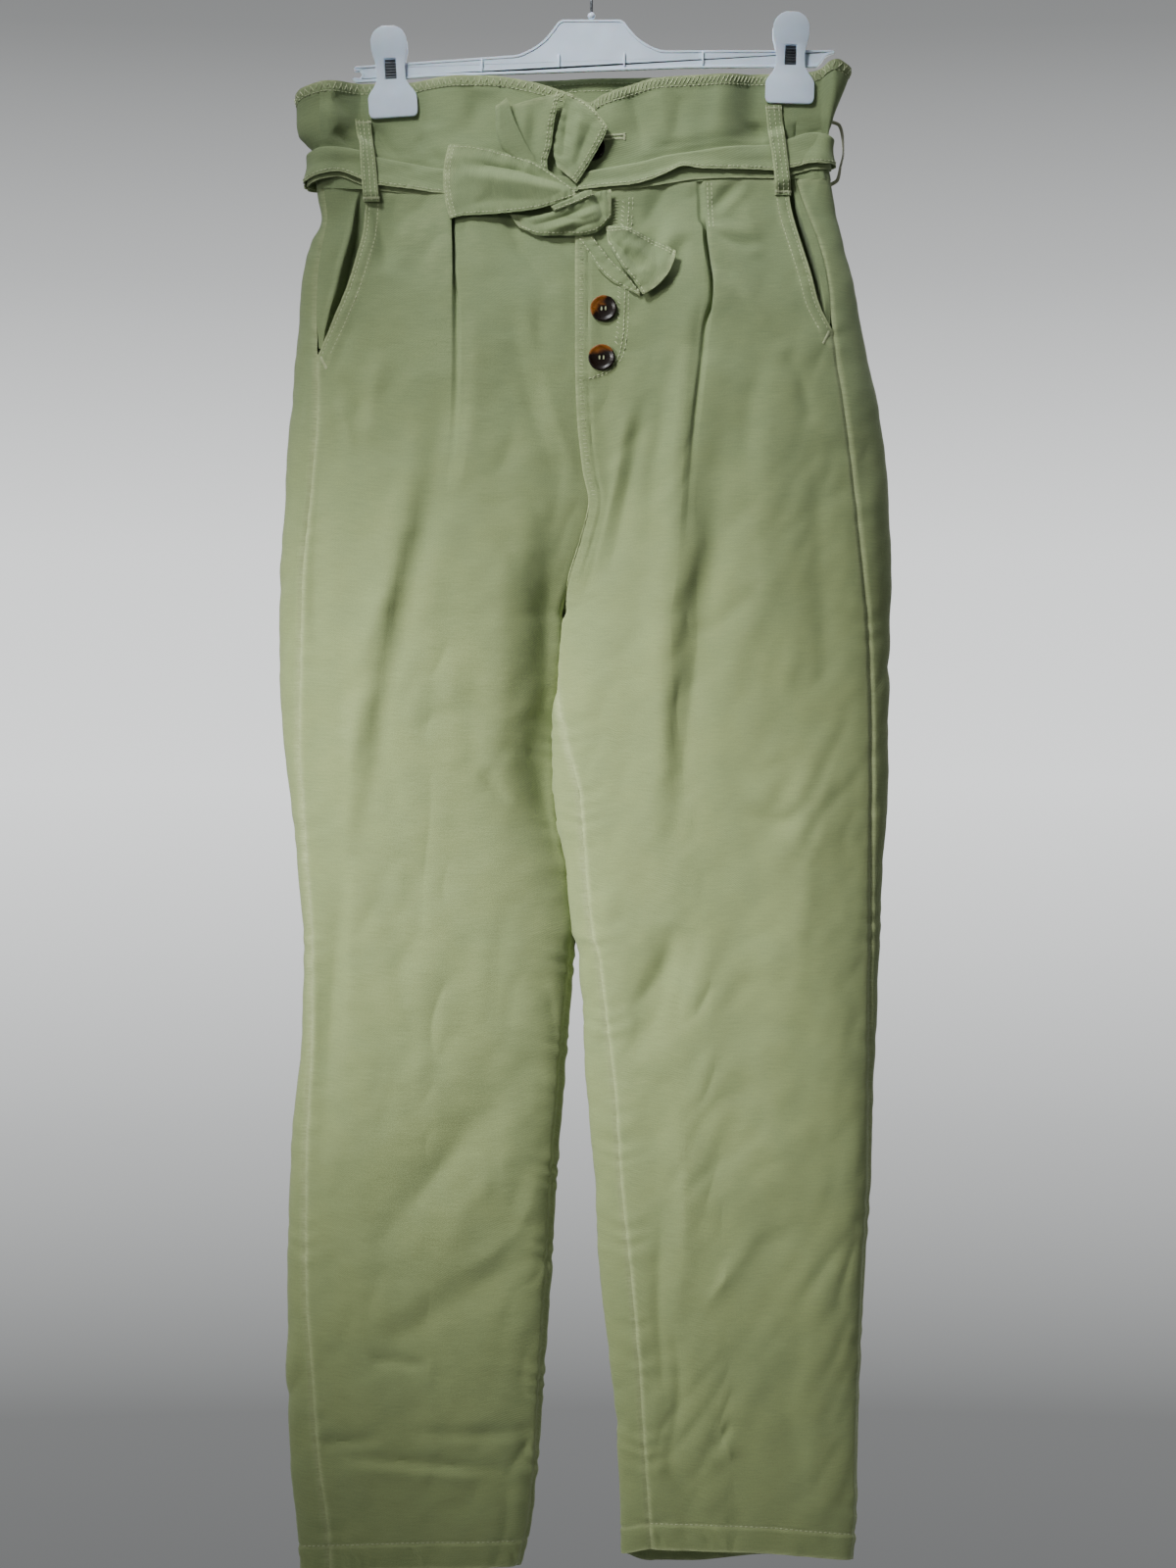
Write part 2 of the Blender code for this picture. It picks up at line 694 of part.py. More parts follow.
def panel_drop(side, front, x, level):
    """Drop of a row: level 0 at the waist seam, 1 at the crotch, 2 at the hem."""
    upper = mix(across(WAIST, x), CROTCH_DROP, level)
    hem = np.where(front, across(HEM[side, "front"], x), across(HEM[side, "back"], x))
    return np.where(level <= 1, upper, mix(CROTCH_DROP, hem, level - 1))


def band_drop(side, front, x, level):
    """Drop of a row of the waistband: level 0 at its top edge, 1 at the waist seam."""
    top = np.where(front, across(BAND_TOP, x), across(BAND_TOP_BACK, x))
    return mix(top, across(WAIST, x), level)


def sash_drop(side, front, x, level):
    """Drop of a row of the tie belt: level 0 at its top edge, 1 at its bottom edge."""
    rows = [
        np.where(front, curve(SASH_FRONT[side], edge, x, "x"), curve(SASH_BACK, edge, x, "x"))
        for edge in ("top", "bottom")
    ]
    return mix(rows[0], rows[1], level)


def cloth_grid(side, piece, shares, levels, row_drop, find_theta):
    """Points and outward directions of a piece: a row for each level, a column for each share."""
    share, level = np.meshgrid(shares, levels)
    drop = np.full(share.shape, WAIST_DROP) if np.max(levels) <= 1 else mix(WAIST_DROP, HEM_DROP, level / 2)
    for _ in range(6):  # each pass brings the rows closer to their edges
        theta = find_theta(side, share, drop)
        front = faces_front(piece, theta)
        drop = row_drop(side, front, ring_x(side, theta, drop), level)
    points = ring_point(side, theta, drop, faces_front(piece, theta))
    normals = ring_normal(side, theta, drop, piece)
    other = "left" if side == "right" else "right"
    facing = ring_normal(other, np.full(drop.shape, np.pi), drop, piece)
    at_centre = (np.abs(theta - np.pi) < 1e-4) & (drop < CROTCH_DROP - 1)
    shared = normals + facing
    shared = shared / np.linalg.norm(shared, axis=-1, keepdims=True)
    normals = np.where(at_centre[..., None], shared, normals)
    return points, normals


# ------------------------------------------------------------------ solids
def material(name):
    found = bpy.data.materials.get(name)
    if found:
        return found
    made = bpy.data.materials.new(name)
    made.use_nodes = True
    shader = made.node_tree.nodes["Principled BSDF"]
    shader.inputs["Base Color"].default_value = COLOURS[name]
    shader.inputs["Roughness"].default_value = ROUGHNESS[name]
    shader.inputs["Metallic"].default_value = 1.0 if name == "steel" else 0.0
    return made


def add_object(name, vertices, faces, look):
    """Mesh object from points in mm, turned so that its faces point out."""
    vertices = np.asarray(vertices, float)
    volume = 0.0
    for face in faces:
        a = vertices[face[0]]
        for b, c in zip(face[1:-1], face[2:]):
            volume += np.dot(a, np.cross(vertices[b], vertices[c]))
    if volume < 0:
        faces = [tuple(reversed(face)) for face in faces]
    mesh = bpy.data.meshes.new(name)
    mesh.from_pydata((vertices * MM).tolist(), [], faces)
    mesh.materials.append(material(look))
    mesh.update()
    made = bpy.data.objects.new(name, mesh)
    bpy.context.collection.objects.link(made)
    return made


def grid_faces(rows, columns, start):
    """Triangles of a grid of points; each square is split the same way."""
    faces = []
    for i in range(rows - 1):
        for j in range(columns - 1):
            a = start + i * columns + j
            b, c, d = a + 1, a + columns + 1, a + columns
            faces += [(a, b, c), (a, c, d)]
    return faces


def slab(name, outer, inner, look="cloth"):
    """Closed wall between two grids of points."""
    rows, columns = outer.shape[:2]
    count = rows * columns
    faces = grid_faces(rows, columns, 0)
    faces += [tuple(reversed(face)) for face in grid_faces(rows, columns, count)]
    rim = list(range(columns))
    rim += [i * columns + columns - 1 for i in range(1, rows)]
    rim += [(rows - 1) * columns + j for j in range(columns - 2, -1, -1)]
    rim += [i * columns for i in range(rows - 2, 0, -1)]
    for a, b in zip(rim, rim[1:] + rim[:1]):
        faces += [(b, a, a + count), (b, a + count, b + count)]
    vertices = np.concatenate([outer.reshape(-1, 3), inner.reshape(-1, 3)])
    return add_object(name, vertices, faces, look)


def pulled_in(points, first_row=True, last_row=False, first_column=True, last_column=True):
    """The grid with its seam edges drawn back by half of the seam gap."""
    points = points.copy()

    def draw(edge, inside):
        step = inside - edge
        return edge + 0.5 * SEAM_GAP * step / np.linalg.norm(step, axis=-1, keepdims=True)

    if first_column:
        points[:, 0] = draw(points[:, 0], points[:, 1])
    if last_column:
        points[:, -1] = draw(points[:, -1], points[:, -2])
    if first_row:
        points[0] = draw(points[0], points[1])
    if last_row:
        points[-1] = draw(points[-1], points[-2])
    return points


def wall(name, grid, thickness, **edges):
    """Cloth wall under a grid of outer points."""
    points, normals = grid
    points = pulled_in(points, **edges)
    return slab(name, points, points - thickness * normals)


def cover(name, grid, lift, thickness, **edges):
    """Piece that lies on the cloth: its back is lifted off the cloth's face."""
    points, normals = grid
    points = pulled_in(points, **edges)
    lift = np.broadcast_to(np.asarray(lift, float), points.shape[:2])[..., None]
    return slab(name, points + (lift + thickness) * normals, points + lift * normals)


# ------------------------------------------------------------------ leg panels and band
UPPER_LEVELS = np.linspace(0, 1, 13)
LOWER_LEVELS = 1 + np.linspace(0, 1, 16)[1:]
PANEL_LEVELS = np.concatenate([mix(UPPER_LEVELS ** 1.25, UPPER_LEVELS, 0.3), LOWER_LEVELS])
PLEAT_STEP = 0.015
FRONT_SHARES = np.concatenate(
    [np.linspace(0, PLEAT_SHARE, 8), np.linspace(PLEAT_SHARE + PLEAT_STEP, 1, 7)]
)
BACK_SHARES = np.linspace(0, 1, 15)
BAND_LEVELS = np.linspace(0, 1, 7)


def both_backs(end, levels, row_drop):
    """Back grid that runs from the right side round to the left one."""
    find = band_theta("back", end)
    columns = {side: band_columns(side, "back", end) for side in ("right", "left")}
    right = cloth_grid("right", "back", columns["right"][::-1], levels, row_drop, find)
    left = cloth_grid("left", "back", columns["left"], levels, row_drop, find)
    return [np.concatenate([a[:, :-1], b], axis=1) for a, b in zip(right, left)]


def add_panels():
    for side in ("right", "left"):
        front = cloth_grid(side, "front", FRONT_SHARES, PANEL_LEVELS, panel_drop, front_theta)
        wall(f"front_{side}", front, CLOTH)
        back = cloth_grid(side, "back", BACK_SHARES, PANEL_LEVELS, panel_drop, back_theta)
        wall(f"back_{side}", back, CLOTH)


def add_band():
    for side in ("right", "left"):
        columns = band_columns(side, "front", "seam")
        front = cloth_grid(side, "front", columns, BAND_LEVELS, band_drop, band_theta("front", "seam"))
        wall(f"band_front_{side}", front, BAND, first_row=False, last_row=True)
    back = both_backs("seam", BAND_LEVELS, band_drop)
    wall("band_back", back, BAND, first_row=False, last_row=True)


def add_facings():
    for side in ("right", "left"):
        edge = POCKET_EDGE[side]
        inward = 1.0 if side == "right" else -1.0
        foot = edge["drop"][-1] - 7.0
        u, v = np.meshgrid(np.linspace(0, 1, 8), np.linspace(0, 1, 10))
        drop = mix(WAIST_DROP, foot, v)
        for _ in range(4):
            outseam = curve(OUTLINE[side], "outseam", drop) + inward * SEAM_GAP
            slant = curve(edge, "x", drop)
            x = mix(outseam, slant + inward * FACING_LAP * ease((foot + 12 - drop) / 60), u)
            drop = mix(across(WAIST, x), foot, v)
        under = ease((x - outseam) / (slant - outseam))
        depth = mix(0.0, FACING_DEPTH + POCKET_GAPE * np.sin(np.pi * v) ** 0.8, under)
        depth = np.maximum(depth, FACING_DEPTH * ease((v - 0.82) / 0.18))
        theta = ring_angle(side, x, drop)
        points = ring_point(side, theta, drop, True)
        normals = ring_normal(side, theta, drop, "front")
        wall(f"pocket_facing_{side}", (points - depth[..., None] * normals, normals), CLOTH)


def add_underlap():
    """Button stand behind both fronts, from the waist seam to the foot of the fly."""
    right_x, left_x, head = -18.0, 26.0, 190.0
    x, drop = np.meshgrid(np.linspace(right_x, left_x, 6), np.linspace(head, FLY_DROP, 9))
    points, normals = front_face(x, drop)
    under = CLOTH + REST_GAP + SEAM_GAP
    slab("fly_underlap", points - under * normals, points - (under + CLOTH) * normals)


def front_face(x, drop):
    """Points and directions of the front at any X, whichever half it lies on."""
    centre = curve(OUTLINE["right"], "inner", drop)
    halves = []
    for side in ("right", "left"):
        theta = ring_angle(side, x, drop)
        halves.append((ring_point(side, theta, drop, True), ring_normal(side, theta, drop, "front")))
    pick = (x < centre)[..., None]
    return [np.where(pick, a, b) for a, b in zip(*halves)]


# ------------------------------------------------------------------ tie belt, bow and loops
def add_sash():
    levels = np.linspace(0, 1, 4)
    for side in ("right", "left"):
        columns = band_columns(side, "front", "fold")
        front = cloth_grid(side, "front", columns, levels, sash_drop, band_theta("front", "fold"))
        cover(f"sash_{side}", front, SASH_LIFT, SASH, first_row=False)
    back = both_backs("fold", levels, sash_drop)
    cover("sash_back", back, SASH_LIFT, SASH, first_row=False)


def add_ribbons():
    for name, stations in RIBBONS.items():
        count = len(stations["x_a"])
        stations = dict(stations, index=np.arange(count, dtype=float))
        u, row = np.meshgrid(np.linspace(0, 1, 6), np.linspace(0, count - 1, 2 * count - 1))
        at = {key: curve(stations, key, row, "index") for key in RIBBON_COLUMNS}
        x = mix(at["x_a"], at["x_b"], u)
        drop = mix(at["drop_a"], at["drop_b"], u)
        run_x = at["x_b"] - at["x_a"]
        run_drop = at["drop_b"] - at["drop_a"]
        length = np.hypot(run_x, run_drop)
        arch = 4 * u * (1 - u)
        x = x + at["bow"] * arch * run_drop / length
        drop = drop - at["bow"] * arch * run_x / length
        points, _ = front_face(x, drop)
        lift = mix(at["lift_a"], at["lift_b"], u) + at["swell"] * arch
        back = points - np.stack([0 * lift, lift, 0 * lift], axis=-1)
        thickness = SASH - 0.4
        slab(name, back - np.array([0.0, thickness, 0.0]), back)


def add_loops():
    for name, (side, head_x, foot_x, head, foot, back) in LOOPS.items():
        u, v = np.meshgrid(np.linspace(-0.5, 0.5, 3), np.linspace(0, 1, 12))
        x = mix(head_x, foot_x, v) + u * LOOP_WIDTH
        drop = mix(head, foot, v)
        theta = ring_angle(side, x, drop, back)
        points = ring_point(side, theta, drop, not back)
        normals = ring_normal(side, theta, drop, "back" if back else "front")
        top = sash_drop(side, not back, x, 0.0)
        bottom = sash_drop(side, not back, x, 1.0)
        over = ease((drop - top + 9) / 8) * ease((bottom + 9 - drop) / 8)
        lift = LOOP_LIFT + over * (SASH_LIFT + SASH + REST_GAP - LOOP_LIFT)
        cover(name, (points, normals), lift, LOOP_WALL, first_row=False, first_column=False, last_column=False)


def add_tape():
    """Thin hanging loop at the left side, sewn to the band and to the back panel."""
    width, thickness = 3.0, 0.9
    route = np.stack([TAPE["x"], TAPE["y"], -TAPE["drop"]], axis=-1)
    for end in (0, -1):
        drop = TAPE["drop"][end]
        theta = 2 * np.pi - 0.55
        face = ring_point("left", theta, drop, False)
        route[end] = face + (REST_GAP + 1.4 * thickness) * ring_normal("left", theta, drop, "back")
    rows = dict(index=np.arange(len(route), dtype=float), x=route[:, 0], y=route[:, 1], z=route[:, 2])
    at = np.linspace(0, len(route) - 1, 19)
    path = np.stack([curve(rows, axis, at, "index") for axis in "xyz"], axis=-1)
    along = np.gradient(path, axis=0)
    side = np.cross(along, [0.0, 1.0, 0.0])
    side = side / np.linalg.norm(side, axis=-1, keepdims=True)
    across_tape = np.array([0.0, width / 2, 0.0])
    edges = np.stack([path - across_tape, path + across_tape], axis=1)
    half = 0.5 * thickness * side[:, None]
    slab("hanging_tape", edges + half, edges - half)


# ------------------------------------------------------------------ buttons
def add_buttons():
    """Discs with a raised rim, lying on the front."""
    profile = (
        # radius, height above the back
        (0.0, 0.0),
        (BUTTON_RADIUS - 1.0, 0.0),
        (BUTTON_RADIUS, 1.0),
        (BUTTON_RADIUS, 2.2),
        (BUTTON_RADIUS - 1.0, BUTTON_THICKNESS),
        (BUTTON_RADIUS - 2.4, BUTTON_THICKNESS - 0.2),
        (BUTTON_RADIUS - 4.0, 2.2),
        (0.0, 2.0),
    )
    sides = 20
    for name, (x, drop) in BUTTONS.items():
        centre, normal = front_face(np.array([x]), np.array([drop]))
        centre, normal = centre[0], normal[0]
        right = np.cross(normal, [0.0, 0.0, 1.0])
        right = right / np.linalg.norm(right)
        up = np.cross(right, normal)
        base = centre + BUTTON_LIFT * normal
        vertices = [base]
        for radius, height in profile[1:-1]:
            for k in range(sides):
                turn = 2 * math.pi * k / sides
                spoke = math.cos(turn) * right + math.sin(turn) * up
                vertices.append(base + radius * spoke + height * normal)
        vertices.append(base + profile[-1][1] * normal)
        rings = len(profile) - 2
        last = len(vertices) - 1
        faces = []
        for k in range(sides):
            after = (k + 1) % sides
            faces.append((0, 1 + after, 1 + k))
            for ring in range(rings - 1):
                low, high = 1 + ring * sides, 1 + (ring + 1) * sides
                faces.append((low + k, low + after, high + after, high + k))
            top = 1 + (rings - 1) * sides
            faces.append((top + k, top + after, last))
        add_object(name, vertices, faces, "button")


# ------------------------------------------------------------------ hanger
def add_hanger_body():
    count = len(HANGER_OUTLINE)
    vertices = []
    for y in (-BAR_DEPTH / 2, BAR_DEPTH / 2):
        vertices += [(x, y, -drop) for x, drop in HANGER_OUTLINE]
    faces = [tuple(range(count)), tuple(range(2 * count - 1, count - 1, -1))]
    for k in range(count):
        after = (k + 1) % count
        faces.append((k, k + count, after + count, after))
    add_object("hanger_body", vertices, faces, "hanger")


def add_hook():
    """Steel wire: a stem that bends into a hook open to one side, over a ball on the body."""
    ball_radius, ball_drop, stem_x = 2.6, 64.6, 2.4
    route = [(stem_x, -61.7), (stem_x, -54.0), (3.4, -48.5), (6.6, -43.0)]
    start, end, count = math.radians(-52), math.radians(206), 26
    # The wire's underside touches the rail at the origin, so its centre line passes above it.
    centre_z = HOOK_WIRE / 2 - HOOK_RADIUS
    for k in range(count):
        turn = start + (end - start) * k / (count - 1)
        route.append((HOOK_RADIUS * math.cos(turn), centre_z + HOOK_RADIUS * math.sin(turn)))
    wire = bpy.data.curves.new("hanger_hook", "CURVE")
    wire.dimensions = "3D"
    wire.bevel_depth = HOOK_WIRE / 2 * MM
    wire.bevel_resolution = 2
    wire.use_fill_caps = True
    spline = wire.splines.new("POLY")
    spline.points.add(len(route) - 1)
    for point, (x, z) in zip(spline.points, route):
        point.co = (x * MM, 0.0, z * MM, 1.0)
    wire.materials.append(material("steel"))
    bpy.context.collection.objects.link(bpy.data.objects.new("hanger_hook", wire))

    bpy.ops.mesh.primitive_uv_sphere_add(
        segments=12, ring_count=8, radius=ball_radius * MM, location=(stem_x * MM, 0, -ball_drop * MM)
    )
    ball = bpy.context.active_object
    ball.name = "hanger_ball"
    ball.data.name = "hanger_ball"
    ball.data.materials.append(material("hanger"))


def clip_frame(side):
    """Functions that place a clip's own (across, along, y) sizes."""
    top_x, top_drop, lean = CLIPS[side]
    turn = math.radians(lean)

    def place(sideways, along, y):
        x = top_x + sideways * math.cos(turn) + along * math.sin(turn)
        drop = top_drop + along * math.cos(turn) - sideways * math.sin(turn)
        return np.stack(np.broadcast_arrays(x, y, -drop), axis=-1)

    return place


def add_clips():
    grip = CLIP_HALF_CLOTH + SEAM_GAP
    for side in ("right", "left"):
        place = clip_frame(side)
        u, k = np.meshgrid(np.linspace(-1, 1, 5), np.arange(len(JAW["along"])))
        sideways = u * JAW["half_width"][k]
        along = JAW["along"][k]
        near = grip + JAW["forward"][k]
        far = near + JAW_WALL
        faces = [place(sideways, along, y) for y in (-far, -near, far, near)]
        front = slab(f"clip_front_{side}", *faces[:2], "hanger")
        slab(f"clip_back_{side}", *faces[2:], "hanger")
        cut_window(front, place, side)
        add_spring(place, side, grip)


def box_object(name, place, half_width, along, y_range, look):
    """Box in a clip's own axes."""
    vertices = [place(s * half_width, a, y) for s in (-1, 1) for a in along for y in y_range]
    faces = [(0, 1, 3, 2), (4, 6, 7, 5), (0, 4, 5, 1), (2, 3, 7, 6), (0, 2, 6, 4), (1, 5, 7, 3)]
    return add_object(name, vertices, faces, look)


def cut_window(jaw, place, side):
    cutter = box_object(f"window_{side}", place, WINDOW_HALF, WINDOW_ALONG, (-20.0, -0.5), "steel")
    cutter.hide_render = True
    cutter.display_type = "WIRE"
    cut = jaw.modifiers.new("window", "BOOLEAN")
    cut.operation = "DIFFERENCE"
    cut.solver = "EXACT"
    cut.object = cutter


def add_spring(place, side, grip):
    along = (WINDOW_ALONG[0] + SEAM_GAP, WINDOW_ALONG[1] - SEAM_GAP)
    depth = (-(grip + 1.8), -(grip + 0.6))
    box_object(f"clip_spring_{side}", place, WINDOW_HALF - SEAM_GAP, along, depth, "steel")


# ------------------------------------------------------------------ build
def clear_scene():
    for item in list(bpy.data.objects):
        bpy.data.objects.remove(item, do_unlink=True)


def main():
    clear_scene()
    add_panels()
    add_band()
    add_facings()
    add_underlap()
    add_sash()
    add_ribbons()
    add_loops()
    add_tape()
    add_buttons()
    add_hanger_body()
    add_hook()
    add_clips()


main()
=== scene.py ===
"""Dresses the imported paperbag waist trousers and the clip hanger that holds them.

The file is laid out as an add-on: each operator makes one piece, or one group of like pieces.
Tables and sizes are in millimetres, and "drop" is the distance below the hanger's hook, where the
origin is. Sides are the wearer's: "right" is -X. The front faces -Y.
"""

import math

import bpy
import mathutils
import numpy as np
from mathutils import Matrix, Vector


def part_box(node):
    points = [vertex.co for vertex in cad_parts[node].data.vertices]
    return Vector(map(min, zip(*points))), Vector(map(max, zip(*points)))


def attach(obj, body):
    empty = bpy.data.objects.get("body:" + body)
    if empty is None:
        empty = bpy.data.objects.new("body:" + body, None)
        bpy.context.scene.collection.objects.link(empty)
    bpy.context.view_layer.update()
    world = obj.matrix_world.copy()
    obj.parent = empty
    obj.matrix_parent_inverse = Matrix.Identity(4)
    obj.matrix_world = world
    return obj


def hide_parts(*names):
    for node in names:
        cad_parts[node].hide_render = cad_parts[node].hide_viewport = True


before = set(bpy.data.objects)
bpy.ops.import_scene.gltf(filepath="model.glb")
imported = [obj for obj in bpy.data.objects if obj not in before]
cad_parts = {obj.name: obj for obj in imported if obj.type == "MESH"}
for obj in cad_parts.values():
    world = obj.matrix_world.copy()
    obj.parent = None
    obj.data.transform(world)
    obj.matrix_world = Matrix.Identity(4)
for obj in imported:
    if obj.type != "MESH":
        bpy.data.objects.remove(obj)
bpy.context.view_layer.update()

bl_info = {
    "name": "Paperbag waist trousers", "version": (1, 0, 0), "blender": (4, 5, 0),
    "location": "3D View > Sidebar > Trousers",
    "description": "Builds twill trousers with a tie belt, hanging from a clip hanger",
    "category": "Object"
}

MM = 0.001
SIDES = ("right", "left")
INWARD = {"right": 1.0, "left": -1.0}  # which way along X the garment's middle lies

# ---------- driving sizes (mm)
WAIST_DROP = 184.0  # about where the waist seam and the hems lie; the tables say it exactly
HEM_DROP = 1130.0
CROTCH_DROP = 481.0
FLY_DROP = 320.0  # foot of the fly opening
ROUNDNESS = 2.3  # exponent of the cross-sections
CLIP_HALF_CLOTH = 2.4  # half of the cloth's thickness in the clips
FACING_DEPTH = 2.2  # pocket facing below the front panel's face
FACING_LAP = 22.0  # how far the facing runs on behind the front panel
POCKET_GAPE = 5.0
LOOP_WIDTH = 11.0
BUTTON_RADIUS = 9.0
BUTTON_THICKNESS = 3.2
BUTTON_LIFT = 0.5
SEAM_GAP = 0.3  # clearance between pieces at a seam
JAW_WALL = 2.6


def table(columns, *rows):
    """One array for each named column."""
    return {name: np.array(values, float) for name, values in zip(columns, zip(*rows))}


# One row for each height: X of the side fold, of the outseam, of the centre seam (or, below the
# crotch, of the leg's inner fold) and of the inseam.
OUTLINE_COLUMNS = ("drop", "fold", "outseam", "inner", "inseam")
OUTLINE = {
    "right": table(
        OUTLINE_COLUMNS, (95, -202, -184, 0, 0), (121, -202, -184, 1.5, 1.5), (138, -202, -184, -1, -1),
        (148, -200, -183, -3, -3), (160, -191, -182, -5, -5), (178, -188, -182, -7, -7),
        (190, -186, -181, -7, -7), (204, -183, -179.5, -7, -7), (222, -191, -182, -7, -7),
        (242, -196, -185, -7, -7), (269, -198, -186, -7, -7), (303, -202, -185, -7, -7),
        (340, -205, -185, -6, -6), (380, -208, -188, -2, -2), (401, -209, -190, 2, 2),
        (425, -211, -192.5, -3, -3), (452, -212, -195, -11, -11), (481, -212, -196, -17, -17),
        (522, -212, -197, -19, -19), (566, -209, -198, -23, -23), (610, -204.5, -195.5, -21.5, -21.5),
        (654, -200, -193, -13.5, -14), (700, -196, -190, -9, -11), (760, -197, -190, -13, -16),
        (810, -201, -192, -17, -20), (860, -205, -194, -21, -24), (930, -207, -194, -25, -28),
        (995, -207, -190, -29.5, -32), (1060, -205, -185, -34, -36), (1104, -201, -179, -39, -41),
        (1136, -198, -177, -48, -50)
    ),
    "left": table(
        OUTLINE_COLUMNS, (95, 183, 152, 0, 0), (105, 179.5, 150, 1, 1), (121, 173.5, 147, 1.5, 1.5),
        (134, 169.5, 144, 0, 0), (148, 167, 143, -3, -3), (160, 166, 143, -5, -5),
        (178, 167, 143, -7, -7), (190, 169, 146, -7, -7), (204, 171, 151, -7, -7),
        (220, 175, 157, -7, -7), (239, 181, 162, -7, -7), (259, 185, 165, -7, -7),
        (285, 189.5, 167, -7, -7), (303, 193, 169.5, -7, -7), (340, 201, 175, -6, -6),
        (380, 205, 180, -2, -2), (401, 207, 182.5, 2, 2), (425, 208, 185, -3, -3),
        (452, 209, 188, -11, -11), (481, 208, 191, -17, -17), (522, 207, 193, -17.5, -17.5),
        (558, 207, 194, -21, -13), (601, 207, 194, -20, -3.5), (647, 203, 194, -12, 0.5),
        (690, 201.5, 194, -7, 4.5), (747, 199, 193.5, -4, 11), (806, 196.5, 193.5, -1, 18),
        (865, 195, 193, 4.5, 22), (931, 191, 189.5, 8, 29), (999, 188, 187, 16, 35),
        (1048, 186.5, 185.5, 21, 38), (1090, 186, 185, 22, 41), (1131, 183, 182, 23, 44)
    )
}

# Depth of the sections: front and back halves, the middle's share of it, and the centre's.
DEPTH = table(
    ("drop", "front", "back", "middle", "centre"), (95, 20, 18, 0.66, 0.92), (150, 20, 18, 0.66, 0.92),
    (188, 21, 19, 0.74, 0.92), (222, 26, 25, 0.9, 0.9), (269, 33, 34, 1, 0.88), (337, 38, 41, 1, 0.84),
    (400, 40, 44, 1, 0.7), (440, 40, 44, 1, 0.5), (465, 39, 43, 1, 0.25), (481, 38, 42, 1, 0),
    (560, 35, 38, 1, 0), (650, 32, 34, 1, 0), (800, 28, 28, 1, 0), (930, 24, 24, 1, 0),
    (1060, 18, 18, 1, 0), (1136, 13, 14, 1, 0)
)

# Where each clip presses front and back together, and how that fades down the cloth.
CLIP_X = {"right": -134.0, "left": 138.7}
OUTER_FADE = {"right": 2.0, "left": 1.0}  # the left side is rolled into a narrow tube
PINCH = table(
    ("drop", "strength", "half_width", "outer_fade", "inner_fade"), (95, 1, 21, 11, 26),
    (143, 1, 21, 12, 34), (165, 0.72, 9, 22, 50), (190, 0.45, 3, 30, 65), (240, 0.2, 0, 40, 80),
    (320, 0, 0, 50, 90)
)

# Edges that run across the garment: drop against X.
BAND_TOP = table(
    ("x", "drop"), (-204, 122), (-197, 116), (-179, 112), (-150, 112), (-126, 111.5), (-101, 108),
    (-67, 108.5), (-40, 112.5), (-17, 119), (1, 126.5), (10, 121.5), (27, 115.5), (47, 110), (95, 107),
    (140, 104.5), (154, 103.5), (161, 101), (166, 97.5), (171, 96.5), (177, 99), (184, 103)
)
BAND_TOP_BACK = table(
    ("x", "drop"), (-204, 122), (-185, 114), (-150, 112), (-110, 110), (-60, 108), (0, 106),
    (60, 104.5), (140, 104.5), (154, 103.5), (161, 101), (168, 98), (184, 103)
)
WAIST = table(
    ("x", "drop"), (-202, 184), (-100, 187.5), (0, 187), (50, 183), (100, 180), (140, 178), (180, 178)
)
HEM = {
    ("right", "front"): table(("x", "drop"), (-200, 1135), (-120, 1131), (-48, 1131)),
    ("right", "back"): table(("x", "drop"), (-200, 1135), (-120, 1135), (-48, 1131)),
    ("left", "front"): table(("x", "drop"), (23, 1123), (44, 1118.5), (107, 1119.5), (183, 1127)),
    ("left", "back"): table(("x", "drop"), (23, 1123), (40, 1130), (74, 1131), (122, 1127), (183, 1127))
}
POCKET_EDGE = {
    "right": table(
        ("drop", "x"), (180, -151.5), (215, -153.5), (235, -158), (254, -163.5), (277, -172.5),
        (303, -185)
    ),
    "left": table(
        ("drop", "x"), (175, 136), (201, 139), (225, 145.5), (245, 151.5), (266, 157), (286, 167)
    )
}
PLEAT = {
    "right": table(
        ("drop", "x"), (180, -95), (250, -93), (300, -93), (392, -97), (520, -108), (1136, -122)
    ),
    "left": table(("drop", "x"), (175, 80.5), (220, 82), (256, 86), (290, 83), (400, 74), (1131, 104))
}

# Long soft folds of the fronts: three points down each, its half width and its height (or depth).
FOLD_COLUMNS = ("x_1", "drop_1", "x_2", "drop_2", "x_3", "drop_3", "half_width", "height")
FOLDS = table(
    FOLD_COLUMNS, (-112, 350, -136, 492, -160, 640, 17, 4.5),
    (-104, 390, -128, 492, -150, 620, 10, -3.5), (-181, 360, -186, 440, -185, 520, 9, -3),
    (-22, 370, -30, 510, -34, 650, 14, -2.6), (78, 300, 62, 400, 47, 640, 15, 4.5),
    (92, 390, 74, 500, 58, 640, 11, -2.6), (56, 690, 50, 740, 30, 780, 14, -3),
    (-166, 660, -176, 760, -178, 850, 13, -2.5), (-24, 768, -97, 851, -146, 915, 16, -1.6),
    (-32, 915, -95, 950, -150, 985, 15, -1.5), (118, 890, 92, 930, 78, 955, 13, 0.8),
    (-132, 192, -134, 212, -140, 245, 9, -2.5), (54, 195, 44, 225, 38, 245, 8, -3)
)
# The same kind of folds on the backs.
BACK_FOLDS = table(
    FOLD_COLUMNS, (-60, 215, -52, 320, -48, 400, 13, -3), (58, 210, 50, 310, 44, 400, 13, -3),
    (-110, 470, -128, 620, -150, 760, 18, 4), (100, 480, 96, 640, 88, 800, 18, 4),
    (-30, 640, -80, 760, -140, 840, 14, -3), (150, 700, 110, 820, 60, 900, 14, -3)
)

